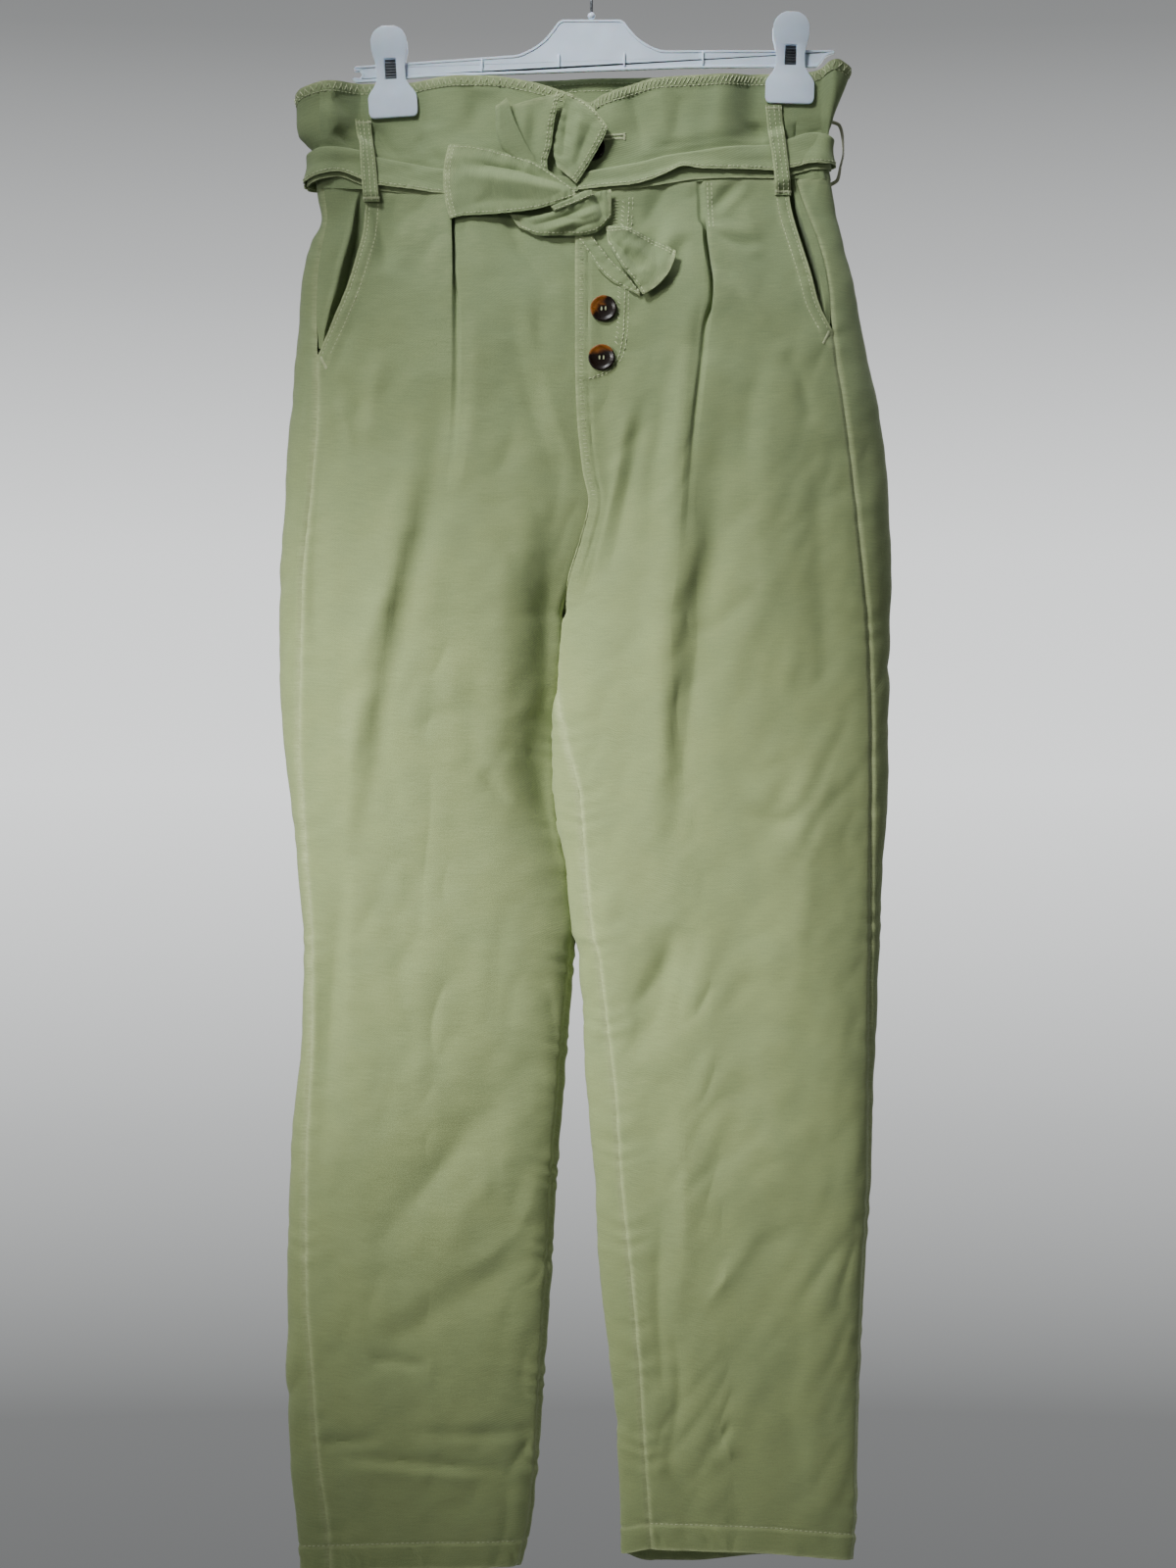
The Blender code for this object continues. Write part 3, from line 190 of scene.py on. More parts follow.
# Tie belt: its top and bottom edges against X.
SASH_FRONT = {
    "right": table(
        ("x", "top", "bottom"), (-192, 160, 184), (-181, 157, 179), (-171, 157.5, 177.5),
        (-158, 160, 182), (-146, 164, 186.5), (-121, 169, 189.5), (-100, 173, 192), (-50, 176, 192),
        (-6, 179, 191)
    ),
    "left": table(
        ("x", "top", "bottom"), (-7, 177, 190), (5, 174, 188), (34, 169, 186), (54, 164, 183),
        (74, 161, 180), (95, 158, 179), (126, 155, 178.5), (140, 150, 175.5), (155, 146, 172),
        (162, 147, 171.5), (170, 152, 171)
    )
}
SASH_BACK = table(
    ("x", "top", "bottom"), (-192, 160, 184), (-120, 158, 182), (0, 157, 181), (170, 152, 171)
)

# Bow: each row crosses the ribbon from edge a to edge b. "lift" is the height of the ribbon's
# back above the front's surface, "swell" how far the middle stands out, "bow" how far the row's
# middle is pushed sideways.
RIBBON_COLUMNS = ("x_a", "drop_a", "lift_a", "x_b", "drop_b", "lift_b", "swell", "bow")
RIBBONS = {
    "sash_tail_side": table(
        RIBBON_COLUMNS, (-95, 156, 4.6, -94, 208, 4.0, 1.0, -4.5),
        (-81, 157, 5.0, -84, 206, 4.5, 1.5, -2), (-67, 160, 5.6, -67, 205.5, 5.2, 2.0, 0),
        (-54, 163.5, 6.6, -54, 204.5, 6.6, 2.0, 0), (-40, 168, 8.2, -37, 202.5, 8.0, 1.5, 0),
        (-27, 175.5, 9.4, -25, 199.5, 9.4, 1.0, 0), (-17, 183, 10.4, -14, 196, 10.4, 0.5, 0),
        (-9, 190, 10.8, -8, 194, 10.8, 0, 0)
    ),
    "sash_tail_up": table(
        RIBBON_COLUMNS, (-21, 172, 4.3, -8, 183.5, 4.6, 0, 0), (-24, 159, 4.2, -1, 173, 5.0, 0.5, 0),
        (-21, 146, 4.6, 5, 163, 6.0, 1.0, 0), (-18, 134, 4.8, 10, 154, 7.0, 1.0, 0),
        (-14, 121, 4.6, 13.5, 146, 7.5, 0, 3.5)
    ),
    "sash_knot": table(
        RIBBON_COLUMNS, (-54, 204, 0.8, -47, 214, 0.8, 0.5, 0),
        (-37, 206.5, 3.2, -32, 220, 2.2, 1.5, 0), (-26, 204.5, 4.5, -20, 220, 3.6, 3.0, 0),
        (-13.5, 201, 7.4, -7, 220, 4.6, 4.0, 0), (-1, 195, 8.6, 4, 218.5, 5.0, 4.0, 0),
        (8, 190, 7.0, 11.5, 212.5, 4.6, 3.0, 0), (15.5, 188, 4.8, 15.5, 207, 4.2, 1.0, 0)
    ),
    "sash_strand": table(
        RIBBON_COLUMNS, (-25, 200.8, 10.6, -23, 204, 10.4, 0, 0),
        (-13.5, 196.5, 13.0, -11, 199.6, 12.8, 0.3, 0), (-2, 190.5, 13.2, 1, 194, 13.0, 0.3, 0),
        (2.5, 190, 12.6, 3.5, 193, 12.4, 0, 0)
    ),
    "sash_loop_low": table(
        RIBBON_COLUMNS, (12, 212.9, 6.6, 14, 226, 6.6, 0.5, 0), (27, 215.5, 7.2, 18, 234, 7.0, 1.5, 0),
        (40, 221, 6.0, 24, 244, 6.2, 2.0, 0), (51, 226, 5.0, 31, 252.5, 5.4, 1.5, 1.5),
        (60, 231.5, 4.4, 37, 262, 5.0, 0.5, 5)
    ),
    "sash_loop_back": table(
        RIBBON_COLUMNS, (3, 220.5, 2.0, -7, 221.5, 2.0, 0.5, 0), (9, 228, 1.1, 0, 232, 1.1, 0.8, 0),
        (15, 236, 0.9, 8, 244, 0.9, 0.8, 0), (23, 244, 0.9, 17, 252.5, 0.9, 0.8, 0),
        (30, 252, 0.9, 27, 258, 0.9, 0.5, 0), (35, 259, 0.9, 35, 262, 0.9, 0, 0)
    )
}

LOOPS = {
    # name: (side, X at its head, X at its foot, drop of its head and foot, on the back)
    "loop_front_right": ("right", -155.0, -148.0, 140.0, 195.5, False),
    "loop_front_left": ("left", 127.5, 133.5, 130.0, 190.5, False),
    "loop_back_right": ("right", -88.0, -88.0, 140.0, 195.0, True),
    "loop_back_centre": ("right", -9.0, -13.0, 138.0, 194.0, True),
    "loop_back_left": ("left", 82.0, 82.0, 137.0, 193.0, True)
}

BUTTONS = {
    # name: (X, drop)
    "button_waist": (2.7, 158.0), "button_1": (10.7, 271.0), "button_2": (9.4, 304.5)
}

JAW = table(
    # distance from the top, half width, and how far that row stands forward of the grip
    ("along", "half_width", "forward"), (0, 4, 5), (1.5, 7.6, 4.7), (4.5, 10.6, 4.1), (9, 12.4, 3.2),
    (14, 12.4, 2.2), (21, 11, 0.8), (28, 9.9, 0), (35, 10, 0), (40, 12, 0), (44, 15, 0), (48, 16.8, 0),
    (58, 16.8, 0), (61, 15.6, 0), (62, 13.4, 0)
)
CLIPS = {
    # name: (X and drop of the jaw's top, lean in degrees)
    "right": (-137.6, 73.5, 3.8), "left": (140.0, 63.8, -1.4)
}
WINDOW_ALONG = (21.5, 35.5)
WINDOW_HALF = 4.0

TAPE = table(
    ("x", "drop", "y"), (169.6, 134, 7), (173.5, 138, 8), (176, 147, 8), (176.5, 157, 8),
    (174.5, 167, 8), (172.4, 176, 7.6), (170.4, 184, 7)
)


# ---------- curves
def curve(rows, name, at, along="drop"):
    """Smooth curve through one column of a table, with no overshoot, and flat past its ends."""
    xs = rows[along]
    ys = rows[name]
    rise = np.diff(ys) / np.diff(xs)
    product = rise[:-1] * rise[1:]
    total = np.where(product > 0, rise[:-1] + rise[1:], 1.0)
    inner = np.where(product > 0, 2 * product / total, 0.0)
    slope = np.concatenate(([rise[0]], inner, [rise[-1]]))
    at = np.clip(at, xs[0], xs[-1])
    i = np.clip(np.searchsorted(xs, at) - 1, 0, len(xs) - 2)
    step = xs[i + 1] - xs[i]
    u = (at - xs[i]) / step
    start = (1 + 2 * u) * (1 - u) ** 2 * ys[i] + u * (1 - u) ** 2 * step * slope[i]
    end = u * u * (3 - 2 * u) * ys[i + 1] + u * u * (u - 1) * step * slope[i + 1]
    return start + end


def across(rows, x):
    """Drop of an edge that runs across the garment."""
    return curve(rows, "drop", x, along="x")


def ease(u):
    """0 to 1 with soft ends."""
    u = np.clip(u, 0.0, 1.0)
    return u * u * (3 - 2 * u)


def mix(a, b, u):
    return a + (b - a) * u


def unit(vectors):
    return vectors / np.linalg.norm(vectors, axis=-1, keepdims=True)


def bell(off, width):
    return np.exp(-((off / width) ** 2))


def outline(side, name, drop):
    return curve(OUTLINE[side], name, drop)


def hem_drop(side, front, x):
    return np.where(front, across(HEM[side, "front"], x), across(HEM[side, "back"], x))


def band_top(front, x):
    return np.where(front, across(BAND_TOP, x), across(BAND_TOP_BACK, x))


# ---------- the garment's form
def fold_relief(folds, x, drop, power=2.0):
    """Height of all folds: a ridge or trough round each bent line, crisper at a low power."""
    relief = np.zeros(np.broadcast(x, drop).shape)
    for row in zip(*folds.values()):
        x_1, drop_1, x_2, drop_2, x_3, drop_3, half_width, height = row
        nearest = np.full(relief.shape, 1e9)
        where = np.zeros(relief.shape)
        steps = 8
        for k in range(steps):
            ends = []
            for u in (k / steps, (k + 1) / steps):
                w_1, w_2, w_3 = (1 - u) * (1 - 2 * u), 4 * u * (1 - u), u * (2 * u - 1)
                ends.append(
                    (w_1 * x_1 + w_2 * x_2 + w_3 * x_3, w_1 * drop_1 + w_2 * drop_2 + w_3 * drop_3)
                )
            (ax, ad), (bx, bd) = ends
            length = (bx - ax) ** 2 + (bd - ad) ** 2
            u = np.clip(((x - ax) * (bx - ax) + (drop - ad) * (bd - ad)) / length, 0, 1)
            gap = np.hypot(x - ax - u * (bx - ax), drop - ad - u * (bd - ad))
            closer = gap < nearest
            nearest = np.where(closer, gap, nearest)
            where = np.where(closer, (k + u) / steps, where)
        taper = np.sin(np.pi * np.clip(where, 0, 1)) ** 0.7
        relief += height * taper * np.exp(-((nearest / half_width) ** power))
    return relief


def pinch(side, x, drop):
    """1 where a clip presses the cloth flat, fading to 0 around and below it."""
    outward = -INWARD[side]
    off = (x - CLIP_X[side]) * outward
    beyond = np.maximum(np.abs(off) - curve(PINCH, "half_width", drop), 0)
    outer_fade = OUTER_FADE[side] * curve(PINCH, "outer_fade", drop)
    fade = np.where(off > 0, outer_fade, curve(PINCH, "inner_fade", drop))
    return curve(PINCH, "strength", drop) * (1 - ease(beyond / fade))


def leg_span(side, drop):
    """X of the ring's middle, and half its width."""
    fold, inner = outline(side, "fold", drop), outline(side, "inner", drop)
    return 0.5 * (fold + inner), 0.5 * (inner - fold)


def ring_point(side, theta, drop, front=None):
    """Point on the cloth's outer face.

    theta is 0 at the side fold, pi/2 in the middle of the front, pi at the centre seam or the
    leg's inner fold, 3 pi/2 in the middle of the back, and runs on past 2 pi to the outseam.
    """
    theta, drop = np.broadcast_arrays(np.asarray(theta, float), np.asarray(drop, float))
    if front is None:
        front = np.mod(theta, 2 * np.pi) < np.pi
    middle, half_width = leg_span(side, drop)
    xi = -np.cos(theta)
    x = middle + half_width * xi
    centre = curve(DEPTH, "centre", drop) ** ROUNDNESS
    share = np.where(xi < 0, 1.0, 1.0 - centre)
    round_off = np.maximum(1 - share * np.abs(xi) ** ROUNDNESS, 0) ** (1 / ROUNDNESS)
    depth = np.where(front, curve(DEPTH, "front", drop), curve(DEPTH, "back", drop))
    depth = depth * mix(1.0, curve(DEPTH, "middle", drop), ease((xi + 0.5) / 0.6))
    pressed = pinch(side, x, drop)
    half = mix(depth * round_off, CLIP_HALF_CLOTH, pressed)
    folds_front = 1.5 * fold_relief(FOLDS, x, drop, 1.6)
    folds_back = fold_relief(BACK_FOLDS, x, drop)
    half = half + np.where(front, folds_front, folds_back) * (1 - pressed) * ease(round_off / 0.6)
    legs = ease((drop - CROTCH_DROP) / 60) * (1 - ease((drop - 690) / 90))
    sway = (5.0 if side == "right" else -5.0) * legs * np.maximum(xi, 0) ** 2
    y = np.where(front, -half, half) + sway
    return np.stack([x, y, -drop], axis=-1)


def ring_normal(side, theta, drop, piece):
    """Outward direction of the cloth's face, for a front or a back piece."""
    theta, drop = np.broadcast_arrays(np.asarray(theta, float), np.asarray(drop, float))
    clear = 0.08
    inside = np.minimum(theta, np.pi - clear) if piece == "front" else np.maximum(theta, np.pi + clear)
    theta = np.where(drop < CROTCH_DROP - 1, inside, theta)
    turn = 0.02
    around = ring_point(side, theta + turn, drop) - ring_point(side, theta - turn, drop)
    down = ring_point(side, theta, drop + 1.0) - ring_point(side, theta, drop - 1.0)
    normal = np.cross(around, down) if side == "left" else np.cross(down, around)
    return unit(normal)


def ring_angle(side, x, drop, back=False):
    """theta of the point at X on the front, or on the back."""
    middle, half = leg_span(side, drop)
    xi = np.clip((x - middle) / half, -1, 1)
    theta = np.arccos(-xi)
    return 2 * np.pi - theta if back else theta


def ring_x(side, theta, drop):
    middle, half = leg_span(side, drop)
    return middle - half * np.cos(theta)


def front_edge(side, drop):
    """X of the front panel's outer edge: the outseam, or the slanted pocket edge above its foot."""
    outseam = outline(side, "outseam", drop)
    edge = POCKET_EDGE[side]
    slant = curve(edge, "x", drop)
    return np.where(drop < edge["drop"][-1], slant, outseam)


def inseam_theta(side, drop):
    """theta of the centre seam, or below the crotch of the inseam."""
    return np.where(drop < CROTCH_DROP, np.pi, ring_angle(side, outline(side, "inseam", drop), drop))


PLEAT_SHARE = 0.5  # the pleat line runs along the middle of the front panel's columns


def front_theta(side, share, drop):
    """theta across the front: share 0 at the outer edge, 1 at the centre seam or inseam."""
    outer = ring_angle(side, front_edge(side, drop), drop)
    pleat = ring_angle(side, curve(PLEAT[side], "x", drop), drop)
    inseam = inseam_theta(side, drop)
    u = np.clip((share - PLEAT_SHARE) / (1 - PLEAT_SHARE), 0, 1)
    around = -np.cos(mix(pleat, inseam, u))
    straight = mix(-np.cos(pleat), -np.cos(inseam), u)
    xi = mix(around, straight, curve(DEPTH, "centre", drop))
    inner = np.arccos(np.clip(-xi, -1, 1))
    return np.where(share < PLEAT_SHARE, mix(outer, pleat, share / PLEAT_SHARE), inner)


def back_theta(side, share, drop):
    """theta across the back: share 0 at the centre seam or inseam, 1 at the outseam in front."""
    outseam = 2 * np.pi + ring_angle(side, outline(side, "outseam", drop), drop)
    inseam = inseam_theta(side, drop)
    theta = mix(inseam, outseam, share)
    straight = 1 - (theta - np.pi) / (np.pi / 2)
    xi = mix(-np.cos(theta), straight, curve(DEPTH, "centre", drop))
    inner = 2 * np.pi - np.arccos(np.clip(-xi, -1, 1))
    in_torso = (drop < CROTCH_DROP) & (theta < 1.5 * np.pi)
    return np.where(in_torso, inner, theta)


def band_knots(side, piece, end, drop):
    """theta that a band's or belt's columns pass through, and the columns up to each.

    They start at the centre, keep to both edges of the clip's flat, and end at the side fold or
    at the outseam.
    """
    outward = -INWARD[side]
    reach = outward * PINCH["half_width"][0]
    back = piece == "back"
    near = ring_angle(side, CLIP_X[side] - reach, drop, back)
    far = ring_angle(side, CLIP_X[side] + reach, drop, back)
    seam = ring_angle(side, outline(side, "outseam", drop), drop)
    fold = np.zeros(np.shape(drop)) + (2 * np.pi if back else 0.0)
    knots = [(np.pi, 0), (near, 8), (far, 12)]
    if end == "fold":
        return knots + [(fold, 17)]
    if back and side == "left":
        flat = ring_angle(side, CLIP_X[side] + reach, drop)
        return knots + [(fold, 17), (flat + 2 * np.pi, 22), (seam + 2 * np.pi, 23)]
    if back:
        return knots + [(fold, 17), (seam + 2 * np.pi, 20)]
    if side == "left":
        return [(np.pi, 0), (near, 8), (seam, 12)]
    return knots + [(seam, 18)]


def band_theta(piece, end):
    """Function that gives theta for a column's number, counted from the centre."""

    def find(side, column, drop):
        knots = band_knots(side, piece, end, drop)
        near, first = knots[1]
        xi = mix(1.0, -np.cos(near), np.clip(column / first, 0, 1))
        theta = np.arccos(np.clip(-xi, -1, 1))
        theta = 2 * np.pi - theta if piece == "back" else theta
        for (start, low), (stop, high) in zip(knots[1:-1], knots[2:]):
            part = np.clip((column - low) / (high - low), 0, 1)
            theta = np.where(column > low, mix(start, stop, part), theta)
        return theta

    return find


def band_columns(side, piece, end):
    return np.arange(band_knots(side, piece, end, np.array(WAIST_DROP))[-1][1] + 1.0)


def faces_front(piece, theta):
    """Whether points of a piece lie on the front of the ring."""
    if piece == "front":
        return np.ones(np.shape(theta), bool)
    return (theta < np.pi - 1e-6) | (theta > 2 * np.pi)


def panel_drop(side, front, x, level):
    """Drop of a row: level 0 at the waist seam, 1 at the crotch, 2 at the hem."""
    upper = mix(across(WAIST, x), CROTCH_DROP, level)
    return np.where(level <= 1, upper, mix(CROTCH_DROP, hem_drop(side, front, x), level - 1))


def band_drop(side, front, x, level):
    """Drop of a row of the waistband: level 0 at its top edge, 1 at the waist seam."""
    return mix(band_top(front, x), across(WAIST, x), level)


def sash_drop(side, front, x, level):
    """Drop of a row of the tie belt: level 0 at its top edge, 1 at its bottom edge."""
    top, bottom = [
        np.where(
            front, curve(SASH_FRONT[side], edge, x, "x"), curve(SASH_BACK, edge, x, "x")
        ) for edge in ("top", "bottom")
    ]
    return mix(top, bottom, level)


def grid_places(side, piece, shares, levels, row_drop, find_theta):
    """theta and drop of a piece's grid: a row for each level, a column for each share."""
    share, level = np.meshgrid(shares, levels)
    drop = mix(WAIST_DROP, HEM_DROP, level / 2) if np.max(levels) > 1 else 0 * level + WAIST_DROP
    for _ in range(6):  # each pass brings the rows closer to their edges
        theta = find_theta(side, share, drop)
        front = faces_front(piece, theta)
        drop = row_drop(side, front, ring_x(side, theta, drop), level)
    return theta, drop


def face_normals(side, theta, drop, piece):
    """Outward directions, shared by both halves along the centre seam."""
    normals = ring_normal(side, theta, drop, piece)
    other = "left" if side == "right" else "right"
    facing = ring_normal(other, np.full(drop.shape, np.pi), drop, piece)
    at_centre = (np.abs(theta - np.pi) < 1e-4) & (drop < CROTCH_DROP - 1)
    return np.where(at_centre[..., None], unit(normals + facing), normals)


# ---------- more tables for the cloth
# Smaller creases of the fronts, on top of the long folds.
FRONT_CREASES = table(
    FOLD_COLUMNS,
    # wearer's right leg, from the pleat down
    (-95, 318, -103, 372, -116, 448, 13, -1.9), (-80, 262, -78, 330, -88, 400, 11, 1.7),
    (-116, 423, -134, 495, -156, 640, 12, -2.0), (-131, 452, -143, 480, -158, 520, 8, 1.5),
    (-150, 520, -160, 580, -164, 660, 8, 1.5), (-5, 402, -24, 452, -31, 560, 13, -1.2),
    (-44, 545, -34, 590, -16, 668, 16, -1.6), (-46, 256, -30, 320, -8, 384, 7, 1.2),
    (-52, 270, -40, 330, -18, 392, 8, -1.2), (-72, 583, -65, 594, -55, 606, 3.5, -1.7),
    (-77, 815, -97, 851, -127, 886, 9, -1.2), (-127, 885, -138, 900, -147, 915, 8, -0.9),
    (-31, 918, -57, 925, -88, 945, 7, -0.5), (-46, 922, -95, 945, -149, 986, 10, -0.3),
    (-60, 912, -105, 935, -150, 968, 9, 0.5), (-149, 986, -130, 988, -108, 991, 4, -1.8),
    (-118, 1036, -76, 1038, -33, 1036, 4, -1.4), (-178, 1053, -107, 1058, -58, 1063, 4, -1.7),
    (-170, 1060, -110, 1065, -64, 1069, 5, 1.0), (-185, 1046, -165, 1043, -142, 1041, 4, -1.8),
    (-58, 1069, -45, 1052, -33, 1035, 4, -1.0), (-167, 667, -176, 747, -180, 806, 11, -2.0),
    (-158, 640, -163, 710, -166, 790, 9, 1.6), (-60, 430, -58, 520, -66, 600, 18, 1.2),
    (-30, 250, -34, 300, -30, 350, 9, -1.2), (-57, 208, -36, 216, -12, 236, 5, -1.5),
    (-48, 222, -38, 240, -22, 258, 5, -1.4), (-44, 214, -28, 224, -10, 246, 4, 1.0),
    (-60, 196, -52, 212, -46, 236, 5, -1.6), (-80, 196, -74, 226, -72, 250, 8, 1.2),
    (-150, 196, -142, 214, -138, 246, 6, -2.0), (-128, 190, -126, 214, -124, 240, 8, 1.4),
    (-171, 318, -158, 330, -150, 352, 5, -1.5), (-173, 334, -164, 350, -160, 372, 4, 1.2),
    (-140, 300, -146, 330, -150, 368, 7, 1.3),
    # wearer's left leg, from the pleat down
    (70, 262, 62, 340, 52, 440, 6, 1.4), (82, 268, 73, 345, 66, 430, 6, -1.3),
    (56, 300, 48, 360, 40, 430, 8, -1.2), (58, 430, 50, 480, 50, 560, 8, 1.0),
    (92, 350, 86, 410, 76, 480, 10, -1.0), (63, 520, 60, 548, 58, 580, 5, -0.9),
    (53, 530, 54, 560, 53, 590, 5, 0.8), (96, 250, 112, 268, 124, 292, 8, 1.4),
    (24, 196, 34, 210, 40, 232, 5, -1.4), (104, 196, 112, 212, 116, 236, 7, 1.3),
    (120, 300, 110, 340, 106, 400, 8, -1.2), (80, 212, 100, 224, 122, 222, 4, -1.5),
    (80, 236, 94, 246, 104, 262, 4.5, -1.3), (82, 203, 94, 191, 106, 180, 3.5, -1.8),
    (86, 208, 98, 197, 110, 186, 4, 1.0), (54, 180, 47, 197, 38, 213, 5, -2.4),
    (68, 219, 58, 236, 47, 254, 5, -2.4), (60, 214, 50, 232, 41, 250, 6, 1.6),
    (28, 338, 18, 390, 4, 448, 5, 1.9), (38, 330, 28, 386, 12, 456, 6, -2.2),
    (18, 380, 8, 424, -6, 474, 5, -1.6), (56, 690, 50, 723, 26, 747, 8, -1.8),
    (120, 889, 98, 924, 80, 948, 4, 1.1), (128, 893, 106, 930, 88, 955, 9, -0.2),
    (99, 1029, 92, 1040, 87, 1052, 4, -1.8), (88, 1030, 94, 1044, 99, 1054, 4, 1.2),
    (51, 1061, 68, 1082, 86, 1104, 6, -1.6), (60, 1058, 78, 1078, 96, 1098, 7, 1.0),
    (110, 606, 126, 618, 146, 614, 5, -1.1), (134, 300, 146, 322, 150, 350, 6, -1.4),
    (118, 330, 120, 420, 112, 520, 16, 1.3), (150, 360, 158, 440, 160, 540, 12, -1.4),
    (140, 560, 146, 660, 140, 760, 16, 1.4), (100, 650, 104, 760, 110, 840, 18, -1.4),
    (60, 800, 66, 880, 60, 960, 11, 1.5), (50, 880, 48, 960, 54, 1020, 7, -1.7),
    (130, 980, 140, 1040, 150, 1090, 11, -1.3), (56, 960, 62, 1010, 52, 1062, 5, -1.3),
    (150, 890, 128, 905, 96, 908, 12, -0.9), (150, 820, 118, 860, 92, 870, 14, 0.8),
    (-40, 830, -80, 880, -110, 930, 16, 0.9), (-36, 860, -50, 900, -88, 926, 7, 0.9)
)
BACK_CREASES = table(
    FOLD_COLUMNS, (-150, 560, -120, 600, -70, 620, 8, -1.6), (-60, 560, -90, 640, -150, 700, 9, -1.8),
    (-170, 840, -120, 880, -60, 900, 9, -2.0), (-50, 880, -110, 930, -170, 960, 8, 1.6),
    (-60, 1020, -110, 1030, -165, 1034, 6, -1.4), (-100, 240, -104, 330, -100, 430, 14, 1.6),
    (-20, 380, -34, 440, -52, 500, 8, -1.8), (60, 560, 90, 620, 150, 660, 9, -1.8),
    (40, 700, 90, 760, 150, 790, 10, -1.8), (60, 880, 110, 920, 165, 935, 9, 1.7),
    (150, 960, 110, 1010, 60, 1030, 7, -1.6), (70, 1060, 110, 1075, 160, 1080, 5, -1.4),
    (96, 240, 100, 330, 96, 430, 14, 1.6), (16, 380, 30, 440, 50, 500, 8, -1.8)
)
# Soft dents and swells of the gathered waistband.
BAND_FOLDS = table(
    FOLD_COLUMNS, (-173, 121, -169, 127, -163, 134, 4, -2.4),
    (-174, 145, -165, 152, -155, 161, 4, -3.2), (-184, 128, -176, 134, -168, 146, 8, 1.8),
    (-150, 138, -141, 151, -129, 166, 5, -3.8), (-130, 138, -121, 152, -112, 166, 9, 1.8),
    (-118, 150, -108, 160, -98, 168, 5, -1.8), (-76, 118, -78, 135, -74, 156, 12, -3.2),
    (-100, 120, -102, 140, -98, 160, 15, 1.4), (-52, 118, -50, 140, -48, 158, 9, 1.6),
    (30, 120, 34, 138, 39, 160, 7, -3.8), (47, 118, 52, 134, 54, 156, 8, 2.2),
    (64, 122, 62, 134, 60, 150, 6, -1.8), (88, 116, 90, 136, 92, 156, 13, 1.4),
    (112, 124, 116, 138, 122, 152, 6, -3.2), (178, 96, 169, 126, 160, 156, 9, 5.0),
    (151, 130, 148, 144, 147, 162, 5, -6.5), (152, 112, 151, 124, 150, 134, 3, -1.5),
    (14, 126, 16, 140, 18, 160, 7, 1.4)
)
# Knife pleat: the way the cloth goes round the fold edge and back out from under it. "past" is
# its share of the tuck, "forward" the place it reaches in mm, and "height" its share of the rise.
TUCK = 9.0
PLEAT_TUCK = table(
    ("past", "forward", "height"), (0.0, 0.0, 1.0), (0.08, 0.9, 0.9), (0.16, 1.1, 0.5),
    (0.26, 0.2, -0.2), (0.4, -0.6, -1.1), (0.5, 0.6, -1.5), (0.62, 2.0, -1.1), (0.74, 2.6, -0.35),
    (0.86, 4.4, 0.12), (1.0, 9.0, 0.1)
)
PLEAT_OPENING = {
    # how far the tuck stands open down each pleat, in mm
    "right": table(
        ("drop", "height"), (175, 2.4), (205, 3.2), (232, 3.6), (252, 2.6), (275, 1.3), (320, 0.7),
        (380, 0)
    ),
    "left": table(
        ("drop", "height"), (175, 1.0), (208, 1.2), (216, 4.4), (250, 4.6), (266, 3.0), (285, 1.2),
        (330, 0.6), (380, 0)
    )
}
FLY_STITCH = table(
    # line of the curved double row that closes the fly
    ("drop", "x"), (188, 31), (208, 30), (250, 28), (283, 27), (303, 23.6), (314, 14), (320, 0.5)
)
CREASE_STRENGTH = 1.7


# ---------- surface detail of the cloth
def wobble(p, q, seed, length):
    """Soft, uneven waves about `length` mm long, between -1 and 1."""
    total = np.zeros(np.broadcast(p, q).shape)
    for k in range(5):
        turn = seed * 1.7 + k * 2.4
        wave = 2 * np.pi / (length * (0.6 + 0.23 * k))
        ahead = p * np.cos(turn) + q * np.sin(turn)
        aside = q * np.cos(turn) - p * np.sin(turn)
        total += np.sin(wave * ahead + 3.1 * seed + 1.3 * k + 1.3 * np.sin(0.37 * wave * aside + k))
    return total / 3.0


def puckers(along, off, pitch, height, reach, seed):
    """Short puckers that run away from a seam, about `pitch` mm apart along it."""
    at = along + 0.3 * off
    wave = 2 * np.pi / pitch
    phase = 1.9 * np.sin(0.31 * wave * at + seed) + 1.1 * np.sin(0.13 * wave * at + 2.3 * seed)
    strength = 0.55 + 0.45 * np.sin(0.21 * wave * at + 1.7 * seed)
    fade = np.exp(-((np.maximum(off, 0) / reach) ** 1.4))
    return height * strength * np.sin(wave * at + phase) * fade


def groove(off, at, depth, width):
    return -depth * bell(off - at, width)


def panel_seams(side, piece, x, drop, front):
    """Distance in mm from each edge and seam of a leg panel."""
    edges = ("fold", "outseam", "inner", "inseam")
    fold, outseam, inner, inseam = (outline(side, name, drop) for name in edges)
    off = {
        "out": np.where(front, np.abs(x - outseam), np.abs(outseam - fold) + np.abs(x - fold)),
        "in": np.where(front, np.abs(x - inseam), np.abs(inner - inseam) + np.abs(x - inner)),
        "hem": hem_drop(side, front, x) - drop, "waist": drop - across(WAIST, x),
        "pocket": np.full(np.shape(x), 1e3), "fly": np.full(np.shape(x), 1e3)
    }
    if piece == "front":
        inward = INWARD[side]
        slant = (x - curve(POCKET_EDGE[side], "x", drop)) * inward
        foot = POCKET_EDGE[side]["drop"][-1]
        off["pocket"] = np.where(drop < foot, slant, np.hypot(slant, drop - foot))
        off["out"] = np.where(drop < foot, 1e3, off["out"])
    if piece == "front" and side == "left":
        off["fly"] = x - inner
    return off


